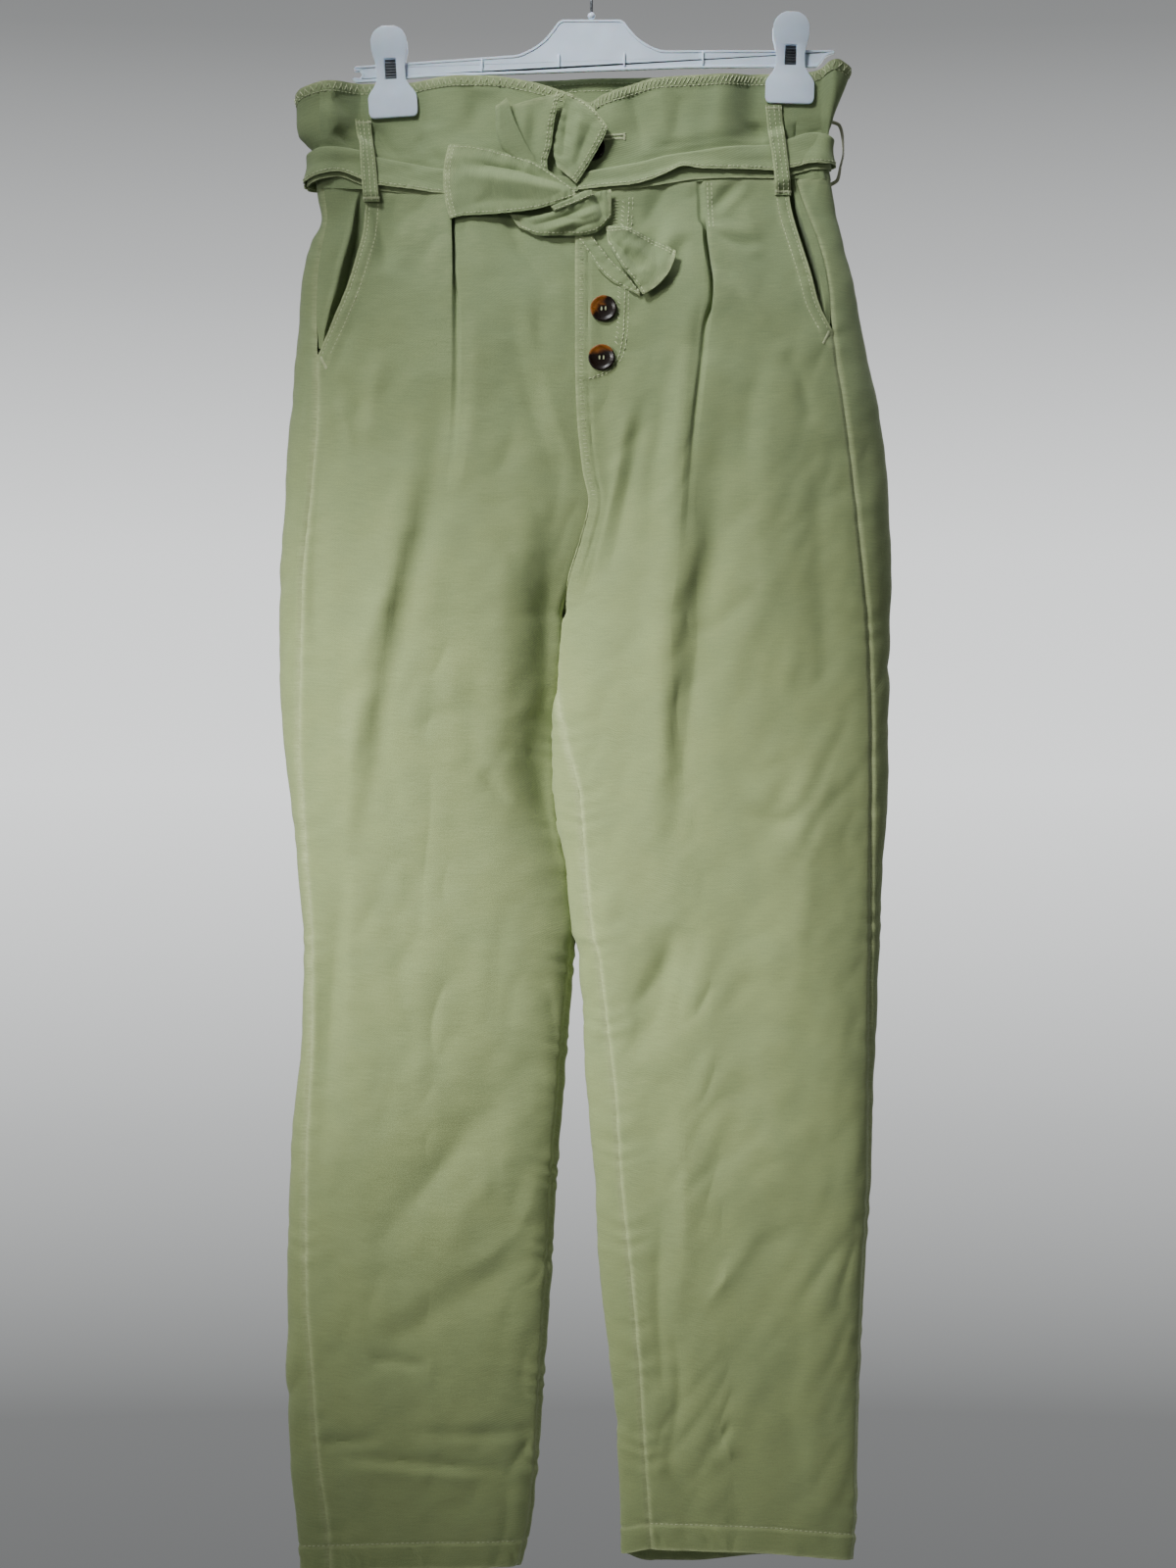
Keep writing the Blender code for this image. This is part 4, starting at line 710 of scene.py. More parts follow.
def panel_relief(side, piece, x, drop, front):
    """Height of creases, puckers and seam lines over the panel's own form."""
    off = panel_seams(side, piece, x, drop, front)
    seed = {"right": 1.0, "left": 2.0}[side]
    small = fold_relief(FRONT_CREASES, x, drop, 1.35)
    if piece == "back":
        small = np.where(front, small, fold_relief(BACK_CREASES, x, drop, 1.35))
    still = ease(off["out"] / 12) * ease(off["in"] / 12) * ease(off["waist"] / 10)
    own = seed if piece == "front" else seed + 4
    height = CREASE_STRENGTH * small * ease(off["out"] / 8) * ease(off["in"] / 8)
    height += still * (0.5 * wobble(x, 0.7 * drop, own, 64) + 0.22 * wobble(x, drop, own + 2, 23))
    # Crumples: soft creases with crisp floors, in patches.
    crumple = np.abs(wobble(x + 0.25 * drop, 0.5 * drop, own + 6, 44)) ** 0.75
    patches = np.clip(0.45 + 0.75 * wobble(x, 0.8 * drop, own + 8, 150), 0, 1.2)
    height += 1.5 * still * patches * (crumple - 0.45)
    leg = ease((drop - CROTCH_DROP + 40) / 60)
    height += leg * puckers(drop, off["in"], 15, 0.8, 12, seed)
    height += puckers(drop, off["out"], 21, 0.5, 10, seed + 3)
    height = height + groove(off["out"], 0, 1.1, 1.5) + leg * groove(off["in"], 0, 1.1, 1.5)
    height += puckers(x, off["waist"], 13, 0.7, 10, seed + 5) * ease(off["waist"] / 4)
    hem = off["hem"]
    roping = puckers(x + 0.5 * hem, np.abs(hem - 9), 11, 0.55, 9, seed + 7) * ease((24 - hem) / 8)
    height = height + roping + groove(hem, 18, 0.5, 1.2) + 0.25 * ease((18 - hem) / 2)
    if piece == "back":
        return height + (1 - leg) * groove(off["in"], 0, 1.1, 1.5)
    pocket = off["pocket"]
    height += 0.6 * (1 - ease((pocket - 9) / 2)) * ease((off["waist"] + 2) / 4)
    gape = np.sin(np.pi * np.clip(off["waist"] / 100, 0, 1)) ** 0.7
    height += 2.2 * gape * bell(pocket, 14)
    height = height + groove(pocket, 2.6, 0.45, 0.9) + groove(pocket, 8.6, 0.5, 0.9)
    height += puckers(drop, np.abs(pocket - 5), 12, 0.32, 6, seed + 9)
    if side == "left":
        line = curve(FLY_STITCH, "x", drop)
        inside = ease((line - x) / 2.5) * ease((FLY_DROP - drop + 2) / 3)
        height = height + 0.7 * inside + 0.45 * puckers(drop, np.abs(x - line), 9, 1, 7, 5)
        comb = off["fly"]
        felled = ease((CROTCH_DROP - 20 - drop) / 20)
        height += felled * (groove(comb, 7.2, 0.8, 1.0) + puckers(drop, np.abs(comb - 4), 7, 0.4, 4, 3))
    return height


def fly_lap(side, x, drop):
    """The left front's edge lies over the right front: how far it runs on, and how far it rises."""
    if side == "right":
        return np.zeros(np.shape(x)), np.zeros(np.shape(x))
    past = x - outline("left", "inner", drop)
    closing = 1 - ease((drop - CROTCH_DROP + 30) / 26)
    return -1.8 * closing * (1 - ease(past / 5)), 2.1 * closing * (1 - ease((past - 5) / 14))


def pleat_tuck(side, x, drop):
    """Sideways shift and height of the cloth at the knife pleat."""
    inward = INWARD[side]
    past = (x - curve(PLEAT[side], "x", drop)) * inward
    opening = curve(PLEAT_OPENING[side], "height", drop)
    strength = np.clip(opening / 3.0, 0, 1) ** 2
    share = np.clip(past / TUCK, 0, 1)
    forward = curve(PLEAT_TUCK, "forward", share, "past")
    inside = (past > 0) & (past < TUCK)
    shift = np.where(inside, (forward - past) * strength, 0.0)
    before = bell(past, 22.0)
    after = PLEAT_TUCK["height"][-1] * bell(past - TUCK, 16.0)
    height = np.where(
        past <= 0, before, np.where(past < TUCK, curve(PLEAT_TUCK, "height", share, "past"), after)
    )
    return shift * inward, height * opening


def panel_face(side, piece, theta, drop):
    """Points of the finished cloth's face, and the directions of the plain form under it."""
    front = faces_front(piece, theta)
    points = ring_point(side, theta, drop, front)
    normals = face_normals(side, theta, drop, piece)
    x = points[..., 0]
    height = panel_relief(side, piece, x, drop, front)
    shift = np.zeros(x.shape)
    if piece == "front":
        lap_shift, lap_rise = fly_lap(side, x, drop)
        tuck_shift, tuck_height = pleat_tuck(side, x, drop)
        height = height + lap_rise + tuck_height
        shift = shift + lap_shift + tuck_shift
    legs = ease((drop - CROTCH_DROP + 4) / 8) * (1 - ease((drop - 692) / 22))
    inside = np.clip(-np.cos(theta), 0, 1) ** 3
    points = points + height[..., None] * normals
    points[..., 0] += shift + (2.6 if side == "right" else -4.6) * legs * inside
    return points, normals, height


def joined(halves):
    """Grids of the right and the left half, joined at the centre seam."""
    return [np.concatenate([a[:, ::-1][:, :-1], b], axis=1) for a, b in zip(*halves)]


def grid_normals(points, like):
    """Directions of a grid's own face, on the same side as the directions given."""
    normals = np.cross(np.gradient(points, axis=1), np.gradient(points, axis=0))
    size = np.linalg.norm(normals, axis=-1, keepdims=True)
    normals = normals / np.maximum(size, 1e-9)
    return normals if np.sum(normals * like) > 0 else -normals


# ---------- mesh making
def new_object(name, vertices, faces, look, smooth_angle=45.0):
    """Mesh object from points in mm, smooth except at sharp corners."""
    mesh = bpy.data.meshes.new(name)
    mesh.from_pydata((np.asarray(vertices, float) * MM).tolist(), [], faces)
    mesh.materials.append(look)
    mesh.update()
    mesh.shade_smooth()
    mesh.set_sharp_from_angle(angle=math.radians(smooth_angle))
    made = bpy.data.objects.new(name, mesh)
    bpy.context.collection.objects.link(made)
    return made


def quads(rows, columns, start=0):
    i, j = np.meshgrid(np.arange(rows - 1), np.arange(columns - 1), indexing="ij")
    a = (start + i * columns + j).ravel()
    return np.stack([a, a + 1, a + columns + 1, a + columns], axis=1)


def run_along(grid, axis):
    """Length along a grid's rows or columns, from its first point to each point."""
    run = np.cumsum(np.linalg.norm(np.diff(grid, axis=axis), axis=-1), axis=axis)
    return np.concatenate([np.zeros_like(run.take([0], axis)), run], axis=axis)


def shell(name, outer, inner, look, wear=None):
    """Closed thin cloth between two grids of points.

    wear, from 0 to 1, is how far the dye has washed off, and on the leg panels also
    a painted highlight on the tops of creases. The layer "grain" holds the cloth's own pair of
    coordinates, which its weave follows.
    """
    rows, columns = outer.shape[:2]
    count = rows * columns
    rim = list(range(columns))
    rim += [i * columns + columns - 1 for i in range(1, rows)]
    rim += [(rows - 1) * columns + j for j in range(columns - 2, -1, -1)]
    rim += [i * columns for i in range(rows - 2, 0, -1)]
    a = np.array(rim)
    b = np.roll(a, -1)
    sides = np.stack([b, a, a + count, b + count], axis=1)
    faces = np.concatenate([quads(rows, columns), quads(rows, columns, count)[:, ::-1], sides])
    span = np.cross(np.gradient(outer, axis=1), np.gradient(outer, axis=0))
    if np.sum(span * (outer - inner)) < 0:
        faces = faces[:, ::-1]
    made = new_object(
        name, np.concatenate([outer.reshape(-1, 3), inner.reshape(-1, 3)]), faces.tolist(), look
    )
    if wear is None:
        wear = np.zeros((rows, columns))
    made.data.attributes.new("wear", "FLOAT", "POINT").data.foreach_set(
        "value", np.tile(wear.ravel(), 2)
    )
    length, width = run_along(outer, 0), run_along(outer, 1)
    grain = np.stack([width - width[:, columns // 2][:, None], length], axis=-1)
    pairs = np.tile(grain.reshape(-1, 2) * MM, (2, 1))
    corner = np.empty(len(made.data.loops), np.int32)
    made.data.loops.foreach_get("vertex_index", corner)
    layer = made.data.uv_layers.new(name="grain")
    layer.data.foreach_set("uv", pairs[corner].ravel())
    return made


def finished(piece, slot, *nodes):
    """Rides on the one body and stands for its CAD nodes, which it hides. The slot is not used."""
    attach(piece, "root")
    if nodes:
        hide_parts(*nodes)
    return piece


def cloth_piece(piece, nodes=(), with_pieces=()):
    """A finished piece of cloth. with_pieces is not used."""
    finished(piece, "cloth", *nodes)
    return piece


# ---------- sewing
THREAD = 0.62  # thickness of the sewing thread, drawn a little thick so that it shows
STITCH = 2.5  # length of one stitch
STITCH_PITCH = 3.1
STITCH_SHAPE = (
    # along, aside and up, as shares of the stitch's half length and of the thread
    (-1.0, 0.0, -0.5), (-0.62, -0.5, 0.0), (-0.62, 0.0, 0.62), (-0.62, 0.5, 0.0), (0.62, -0.5, 0.0),
    (0.62, 0.0, 0.62), (0.62, 0.5, 0.0), (1.0, 0.0, -0.5)
)
STITCH_FACES = (
    (0, 1, 2), (0, 2, 3), (1, 4, 5, 2), (2, 5, 6, 3), (4, 7, 5), (5, 7, 6), (0, 3, 1), (1, 3, 6, 4),
    (4, 6, 7)
)


def spaced(points, normals, pitch):
    """The line's points, directions along it and away from the cloth, every `pitch` mm."""
    run = run_along(points, 0)
    count = max(int(run[-1] / pitch), 1)
    at = (np.arange(count) + 0.5) * run[-1] / count

    def found(line, where):
        return np.stack([np.interp(where, run, line[:, k]) for k in range(3)], axis=1)

    along = unit(found(points, at + 0.5) - found(points, at - 0.5))
    away = found(normals, at)
    away = away - along * np.sum(along * away, axis=1, keepdims=True)
    return found(points, at), along, unit(away)


class Sewing:
    """Gathers stitches, then makes one mesh of them."""

    def __init__(self):
        self.vertices = []

    def stitches(self, place, along, away, length=STITCH, thread=THREAD):
        shape = np.array(STITCH_SHAPE)
        aside = np.cross(along, away)
        offsets = (
            0.5 * length * shape[:, 0][None, :, None] * along[:, None]
            + thread * shape[:, 1][None, :, None] * aside[:, None]
            + thread * shape[:, 2][None, :, None] * away[:, None]
        )
        self.vertices.append((place[:, None] + offsets).reshape(-1, 3))

    def row(self, points, normals, pitch=STITCH_PITCH, length=STITCH, lift=0.1, thread=THREAD):
        """A straight row of stitches along a line on the cloth."""
        place, along, away = spaced(points, normals, pitch)
        self.stitches(place + lift * away, along, away, length, thread)

    def comb(self, points, normals, pitch, length, lean=0.0, aside=0.0, lift=0.1, thread=THREAD):
        """Short threads across a line, each turned by `lean` degrees and set `aside` mm off it."""
        place, along, away = spaced(points, normals, pitch)
        across_line = np.cross(away, along)
        turn = math.radians(lean)
        self.stitches(
            place + aside * across_line + lift * away,
            math.cos(turn) * across_line + math.sin(turn) * along, away, length, thread
        )

    def zigzag(self, points, normals, pitch, width, lift):
        lean = math.degrees(math.atan(0.5 * pitch / width))
        self.comb(points, normals, pitch, 1.1 * width, lean, lift=lift)
        half = [part[1::2] for part in spaced(points, normals, 0.5 * pitch)]
        self.comb(half[0], half[2], pitch, 1.1 * width, -lean, lift=lift)

    def mesh(self, name, look):
        vertices = np.concatenate(self.vertices)
        count = len(STITCH_SHAPE)
        faces = []
        for start in range(0, len(vertices), count):
            faces += [tuple(start + k for k in face) for face in STITCH_FACES]
        return new_object(name, vertices, faces, look, smooth_angle=80.0)

    def piece(self, name):
        """The finished stitches, as the list that goes with a piece of cloth."""
        return [finished(self.mesh(f"stitches_{name}", thread()), "cloth")]


# ---------- sizes and colours
def length(name, description, default):
    return bpy.props.FloatProperty(
        name=name, description=description, default=default, min=0.0, soft_max=0.1, unit="LENGTH",
        precision=5
    )


def colour(name, description, code):
    return bpy.props.FloatVectorProperty(
        name=name, description=description, default=linear(code)[:3], size=3, min=0.0, max=1.0,
        subtype="COLOR"
    )


def linear(code):
    """Linear colour for an sRGB code such as "8A9470"."""
    shares = [int(code[k : k + 2], 16) / 255 for k in (0, 2, 4)]
    return tuple(s / 12.92 if s <= 0.04045 else ((s + 0.055) / 1.055) ** 2.4 for s in shares) + (1.0,)


class TrouserSizes(bpy.types.PropertyGroup):
    """Thicknesses and depths that can be changed before the pieces are made."""

    twill: length("Twill", "Thickness of the leg panels' cloth", 0.00095)
    doubled: length(
        "Doubled twill", "Thickness of the waistband and of hems, which are two layers", 0.0017
    )
    belt: length(
        "Belt layer", "Thickness of one layer of the tie belt, which is sewn as a flat tube", 0.001
    )
    hem: length("Hem", "Height of the hem that is turned up inside", 0.018)
    edging: length("Edging", "Depth of the stitched edge along the top of the waistband", 0.0065)
    jaw_bevel: length("Clip edge", "Rounding of the clips' edges", 0.0009)
    body_bevel: length("Hanger edge", "Rounding of the hanger's edges", 0.0006)


class TrouserColours(bpy.types.PropertyGroup):
    """Colours of the cloth and of the hanger."""

    dye: colour("Dye", "Sage green of the garment-dyed twill", "8C9969")
    # Deep dye also colours the top of the garment, from the waistband to the hips.
    deep_dye: colour("Deep dye", "Patches that took more of the dye", "82926A")
    # This pale colour also paints a highlight on the tops of the leg panels' creases.
    worn_and_highlight: colour("Worn", "Seams and edges where the dye has washed off", "B6C092")
    thread: colour("Thread", "Sewing thread", "C0C9A0")
    tape: colour("Tape", "Hanging tape", "B4B69A")
    plastic: colour("Plastic", "Moulded hanger and clips", "D8E7F8")
    resin: colour("Button", "Dark part of the buttons", "160D08")
    amber: colour("Amber", "Light patches of the buttons", "7C4A1A")
    steel: colour("Steel", "Hook wire and clip springs", "6C7075")
    floor: colour("Floor", "Floor of the studio", "C9CBCB")


# ---------- materials
class Nodes:
    """A node tree that is filled in. An input is a value or another node's output."""

    def __init__(self, tree, shader):
        self.tree, self.shader = tree, tree.nodes[shader]

    def feed(self, node, inputs):
        for name, value in inputs.items():
            if isinstance(value, bpy.types.NodeSocket):
                self.tree.links.new(value, node.inputs[name])
            else:
                node.inputs[name].default_value = value

    def add(self, kind, output, inputs=(), **settings):
        node = self.tree.nodes.new("ShaderNode" + kind)
        for name, value in settings.items():
            setattr(node, name, value)
        self.feed(node, dict(inputs))
        return node.outputs[output]

    def place(self, output="Object"):
        return self.add("TexCoord", output)

    def grain(self):
        return self.add("UVMap", "UV", uv_map="grain")

    def noise(self, vector, scale, detail, **more):
        return self.add("TexNoise", "Fac", {"Vector": vector, "Scale": scale, "Detail": detail, **more})

    def bands(self, vector, scale, direction, **more):
        inputs = {"Vector": vector, "Scale": scale, **more}
        return self.add("TexWave", "Fac", inputs, wave_type="BANDS", bands_direction=direction)

    def ranged(self, value, low, high, start=0.0, stop=1.0, **settings):
        """Lays the values from low to high over start to stop."""
        inputs = {"Value": value, "From Min": low, "From Max": high, "To Min": start, "To Max": stop}
        return self.add("MapRange", "Result", inputs, **settings)

    def math(self, operation, *values, clamp=False):
        return self.add("Math", "Value", dict(enumerate(values)), operation=operation, use_clamp=clamp)

    def blend(self, share, a, b, way="MIX"):
        return self.add("Mix", 2, {"Factor": share, 6: a, 7: b}, data_type="RGBA", blend_type=way)

    def tint(self, colour, shade):
        return self.blend(1.0, rgba(colour), shade, "MULTIPLY")

    def bump(self, height, strength, distance, **more):
        inputs = {"Height": height, "Strength": strength, "Distance": distance, **more}
        return self.add("Bump", "Normal", inputs)

    def finish(self, **inputs):
        self.feed(self.shader, {name.replace("_", " "): value for name, value in inputs.items()})


def rgba(value):
    return tuple(value) + (1.0,)


def material(name):
    """Makes a function that fills a tree into one that gives the material, made only once."""

    def wrap(fill):
        def give():
            if name not in bpy.data.materials:
                made = bpy.data.materials.new(name)
                made.use_nodes = True
                fill(Nodes(made.node_tree, "Principled BSDF"), bpy.context.scene.trouser_colours)
            return bpy.data.materials[name]

        return give

    return wrap


@material("garment_dyed_cotton_twill")
def twill(nodes, colours):
    """Garment-dyed cotton twill: diagonal ribs, slubs, cloudy dye, pale edges where the dye has washed
    off, and a painted highlight on the tops of creases.
    """
    grain = nodes.grain()
    # Clouds of dye, 20 to 60 mm across, keep the large panels from looking flat.
    clouds = nodes.noise(grain, 24.0, 3.0, Roughness=0.6)
    patch = nodes.ranged(clouds, 0.3, 0.72, interpolation_type="SMOOTHSTEP")
    # Slubs: uneven yarns a few mm long give fine streaks across the leg.
    stretched = nodes.add("Mapping", "Vector", {"Vector": grain, "Scale": (80.0, 1100.0, 1.0)})
    slubs = nodes.noise(stretched, 1.0, 2.0)
    # Real ribs lie 0.6 mm apart. They are drawn 1.1 mm apart so that they can show.
    rib_lean = (0.0, 0.0, math.radians(62))
    turned = nodes.add("Mapping", "Vector", {"Vector": grain, "Rotation": rib_lean})
    ribs = nodes.bands(turned, 286.0, "X", Distortion=0.6, Detail=1.0, **{"Detail Scale": 2.0})
    # The cloth is darker and greener at the top, and paler and yellower down the legs.
    height = nodes.add("SeparateXYZ", "Z", {"Vector": nodes.place()})
    paler_down_the_legs = nodes.ranged(height, -0.22, -0.52, 0.0, 0.75)
    cloudy = nodes.math("MULTIPLY_ADD", patch, 0.3, paler_down_the_legs, clamp=True)
    dyed = nodes.blend(cloudy, rgba(colours.deep_dye), rgba(colours.dye))
    # Edges lose dye in the wash. The tops of the leg panels' creases are painted paler too, as a
    # painted highlight. Both are broken up by the slubs.
    worn_and_highlight = nodes.math("MULTIPLY", nodes.add("Attribute", "Fac", attribute_name="wear"), slubs)
    faded_and_highlit = nodes.blend(nodes.math("MULTIPLY", worn_and_highlight, 1.5, clamp=True), dyed, rgba(colours.worn_and_highlight))
    # Specks where the yarns cross give the face its dry, grainy look.
    specks = nodes.noise(grain, 900.0, 2.0)
    streaks = nodes.ranged(nodes.math("ADD", slubs, specks), 0.6, 1.4, 0.87, 1.12)
    relief = nodes.bump(slubs, 0.3, 0.0003, Normal=nodes.bump(ribs, 0.4, 0.00018))
    streaked = nodes.blend(1.0, faded_and_highlit, streaks, "MULTIPLY")
    nodes.finish(Base_Color=streaked, Normal=relief, Roughness=0.86, Sheen_Weight=0.18)
    nodes.finish(Sheen_Roughness=0.5, Specular_IOR_Level=0.25)


@material("spun_cotton_thread")
def thread(nodes, colours):
    """Spun cotton thread: a dull twist, in a paler green than the cloth."""
    twist = nodes.noise(nodes.place(), 700.0, 1.0)
    tint = nodes.tint(colours.thread, nodes.ranged(twist, 0.3, 0.7, 0.82, 1.08))
    nodes.finish(Base_Color=tint, Normal=nodes.bump(twist, 0.4, 0.0002), Roughness=0.8)


@material("woven_polyester_tape")
def satin_tape(nodes, colours):
    """Woven polyester tape: fine ribs across it and a slight gloss."""
    ribs = nodes.bands(nodes.grain(), 500.0, "Y", Distortion=1.0)
    tint = nodes.tint(colours.tape, nodes.ranged(ribs, 0.0, 1.0, 0.85, 1.05))
    relief = nodes.bump(ribs, 0.4, 0.0002)
    nodes.finish(Base_Color=tint, Normal=relief, Roughness=0.45, Sheen_Weight=0.2)


@material("moulded_polypropylene")
def moulded_plastic(nodes, colours):
    """Injection-moulded polypropylene: satin, faintly cloudy, with light passing a little way in."""
    cloud = nodes.noise(nodes.place(), 60.0, 3.0)
    skin = nodes.noise(nodes.place(), 1400.0, 1.0)
    tint = nodes.tint(colours.plastic, nodes.ranged(cloud, 0.3, 0.7, 0.94, 1.03))
    nodes.finish(Base_Color=tint, Roughness=nodes.ranged(cloud, 0.3, 0.7, 0.3, 0.44))
    nodes.finish(Normal=nodes.bump(skin, 0.12, 0.0001), Subsurface_Weight=0.12, Subsurface_Scale=0.002)


@material("mottled_polyester_resin")
def mottled_resin(nodes, colours):
    """Cast polyester resin: near-black brown with amber clouds, polished."""
    cloud = nodes.noise(nodes.place(), 95.0, 4.0, Distortion=0.8)
    # Each button is amber on one side of its dish, where the poured colours met.
    mixed = nodes.math("MULTIPLY", nodes.add("Attribute", "Fac", attribute_name="amber"), cloud)
    share = nodes.ranged(mixed, 0.12, 0.42, interpolation_type="SMOOTHSTEP")
    tint = nodes.blend(share, rgba(colours.resin), rgba(colours.amber))
    rough = nodes.ranged(cloud, 0.0, 1.0, 0.2, 0.36)
    nodes.finish(Base_Color=tint, Roughness=rough, Specular_IOR_Level=0.3)


@material("drawn_steel_wire")
def drawn_steel(nodes, colours):
    """Drawn steel wire with a dull nickel finish: fine marks and uneven gloss."""
    marks = nodes.noise(nodes.place(), 500.0, 4.0)
    tint = nodes.tint(colours.steel, nodes.ranged(marks, 0.0, 1.0, 0.75, 1.1))
    nodes.finish(Base_Color=tint, Roughness=nodes.ranged(marks, 0.0, 1.0, 0.22, 0.5), Metallic=1.0)


@material("matt_painted_board")
def painted_floor(nodes, colours):
    """Matt painted board: pale grey with a faint unevenness."""
    cloud = nodes.noise(nodes.place(), 2.0, 2.0)
    tint = nodes.tint(colours.floor, nodes.ranged(cloud, 0.0, 1.0, 0.97, 1.02))
    nodes.finish(Base_Color=tint, Roughness=0.9)


# ---------- leg panels
CLOSENESS = 0.6  # 0 is even steps, 1 is steps that close up fully


def near_ends(count, first=True, last=True):
    """Steps from 0 to 1 that lie closer together towards the chosen ends."""
    u = np.linspace(0, 1, count)
    if first and last:
        close = 0.5 - 0.5 * np.cos(np.pi * u)
    elif first:
        close = 1 - np.cos(0.5 * np.pi * u)
    else:
        close = np.sin(0.5 * np.pi * u)
    return mix(u, close, CLOSENESS)


TUCK_SHARE = 0.064  # columns that the tuck takes, past the pleat's line
FRONT_COLUMNS = np.concatenate(
    [
        PLEAT_SHARE * near_ends(34, last=False), PLEAT_SHARE + TUCK_SHARE * np.linspace(0, 1, 17)[1:],
        mix(PLEAT_SHARE + TUCK_SHARE, 1, near_ends(33, first=False))[1:]
    ]
)
BACK_COLUMNS = near_ends(84)
PANEL_ROWS = np.concatenate(
    [np.linspace(0, 1, 112)[:-1], np.linspace(1, 1.965, 218)[:-1], np.linspace(1.965, 2, 22)]
)


def worn_edge(off, width, amount):
    return amount * bell(np.maximum(off, 0), width)


def panel_wear_and_highlight(side, piece, x, drop, front, height):
    """How far the dye has washed off along seams and edges, plus a painted highlight on the tops of
    creases.
    """
    off = panel_seams(side, piece, x, drop, front)
    leg = ease((drop - CROTCH_DROP + 30) / 40)
    wear = worn_edge(off["out"], 2.6, 0.75)
    wear += worn_edge(off["in"], 2.4, 0.7) * np.maximum(leg, piece == "back")
    wear = wear + worn_edge(off["hem"], 1.6, 0.9) + worn_edge(np.abs(off["hem"] - 18), 1.6, 0.45)
    wear += worn_edge(off["waist"], 3, 0.4)
    wear = wear + worn_edge(off["pocket"], 1.4, 0.9) + worn_edge(np.abs(off["pocket"] - 8.6), 1.2, 0.35)
    wear += worn_edge(off["fly"], 1.3, 0.8) * (1 - leg)
    grain_noise = 0.5 + 0.5 * wobble(x, drop, 3.3, 9)
    # The last term paints the tops of creases paler: a painted highlight, not washed-off dye.
    return np.clip(wear * (0.55 + 0.45 * grain_noise) + 0.16 * ease(height / 4) * grain_noise, 0, 1)


def panel_shell(side, piece):
    """One leg panel as a thin shell with its hem, edges, pleat and creases."""
    sizes = bpy.context.scene.trouser_sizes
    shares, find = (FRONT_COLUMNS, front_theta) if piece == "front" else (BACK_COLUMNS, back_theta)
    theta, drop = grid_places(side, piece, shares, PANEL_ROWS, panel_drop, find)
    outer, plain, height = panel_face(side, piece, theta, drop)
    normals = grid_normals(outer, plain)
    x = ring_x(side, theta, drop)
    front = faces_front(piece, theta)
    off = panel_seams(side, piece, x, drop, front)
    hem = sizes.hem / MM
    extra = np.maximum(ease((hem - off["hem"]) / 1.0), ease((9.2 - off["pocket"]) / 0.8))
    thick = mix(sizes.twill, sizes.doubled, extra)[..., None] / MM
    inner = outer - thick * normals
    wear = panel_wear_and_highlight(side, piece, x, drop, front, height)
    return shell(f"leg_{piece}_{side}", outer, inner, twill(), wear)


def front_line(side, x, drop):
    """Points and directions along a line on a front panel's finished face."""
    theta = ring_angle(side, x, drop)
    points, normals, _ = panel_face(side, "front", theta, drop)
    return points, normals


def beside(side, rows, off, drop):
    """The same for a line that runs `off` mm beside the one a table gives."""
    return front_line(side, curve(rows, "x", drop) + off, drop)


def panel_sewing(side):
    """Topstitching of one front: pocket edge, hem, pleat and fly."""
    sewing = Sewing()
    inward = INWARD[side]
    edge = POCKET_EDGE[side]
    drop = np.linspace(192, edge["drop"][-1] - 2, 90)
    for off in (2.6, 8.6):
        sewing.row(*beside(side, edge, inward * off, drop))
    tack = np.linspace(edge["drop"][-1] - 1, edge["drop"][-1] + 8, 20)
    sewing.comb(*beside(side, edge, inward * (2.6 + 0.5 * (tack - tack[0])), tack), 0.8, 2.4)
    x = np.linspace(*{"right": (-196, -50), "left": (42, 181)}[side], 90)
    sewing.row(*front_line(side, x, across(HEM[side, "front"], x) - 18), pitch=3.4)
    if side == "right":
        return sewing
    for off in (0.8, 3.6):
        sewing.row(*beside(side, PLEAT[side], off, np.linspace(182, 215, 18)), pitch=3.0)
    line = np.linspace(192, FLY_DROP - 1, 120)
    for off in (0.0, -2.6):
        sewing.row(*beside(side, FLY_STITCH, off, line), lift=0.2)
    chevron, frayed = np.linspace(194, 296, 60), np.linspace(194, 212, 12)
    sewing.comb(*beside(side, FLY_STITCH, -6.5, chevron), 3.4, 3.2, lean=38, lift=0.2)
    sewing.comb(*beside(side, FLY_STITCH, -11.5, frayed), 2.2, 4.0, lean=-8, lift=0.2)
    felled = np.linspace(196, 398, 120)
    fly = front_line(side, outline(side, "inner", felled) + 3.2, felled)
    sewing.comb(*fly, 2.7, 3.4, lean=6, lift=0.15, thread=0.42)
    return sewing


class TROUSERS_OT_leg_panels(bpy.types.Operator):
    """Makes both fronts and both backs, with their topstitching"""

    bl_idname = "trousers.leg_panels"
    bl_label = "Leg panels"

    def execute(self, context):
        for piece, side in (("front", "right"), ("front", "left"), ("back", "right"), ("back", "left")):
            made = panel_shell(side, piece)
            sewn = panel_sewing(side).piece(f"front_{side}") if piece == "front" else []
            cloth_piece(made, [f"{piece}_{side}"], sewn)
        return {"FINISHED"}


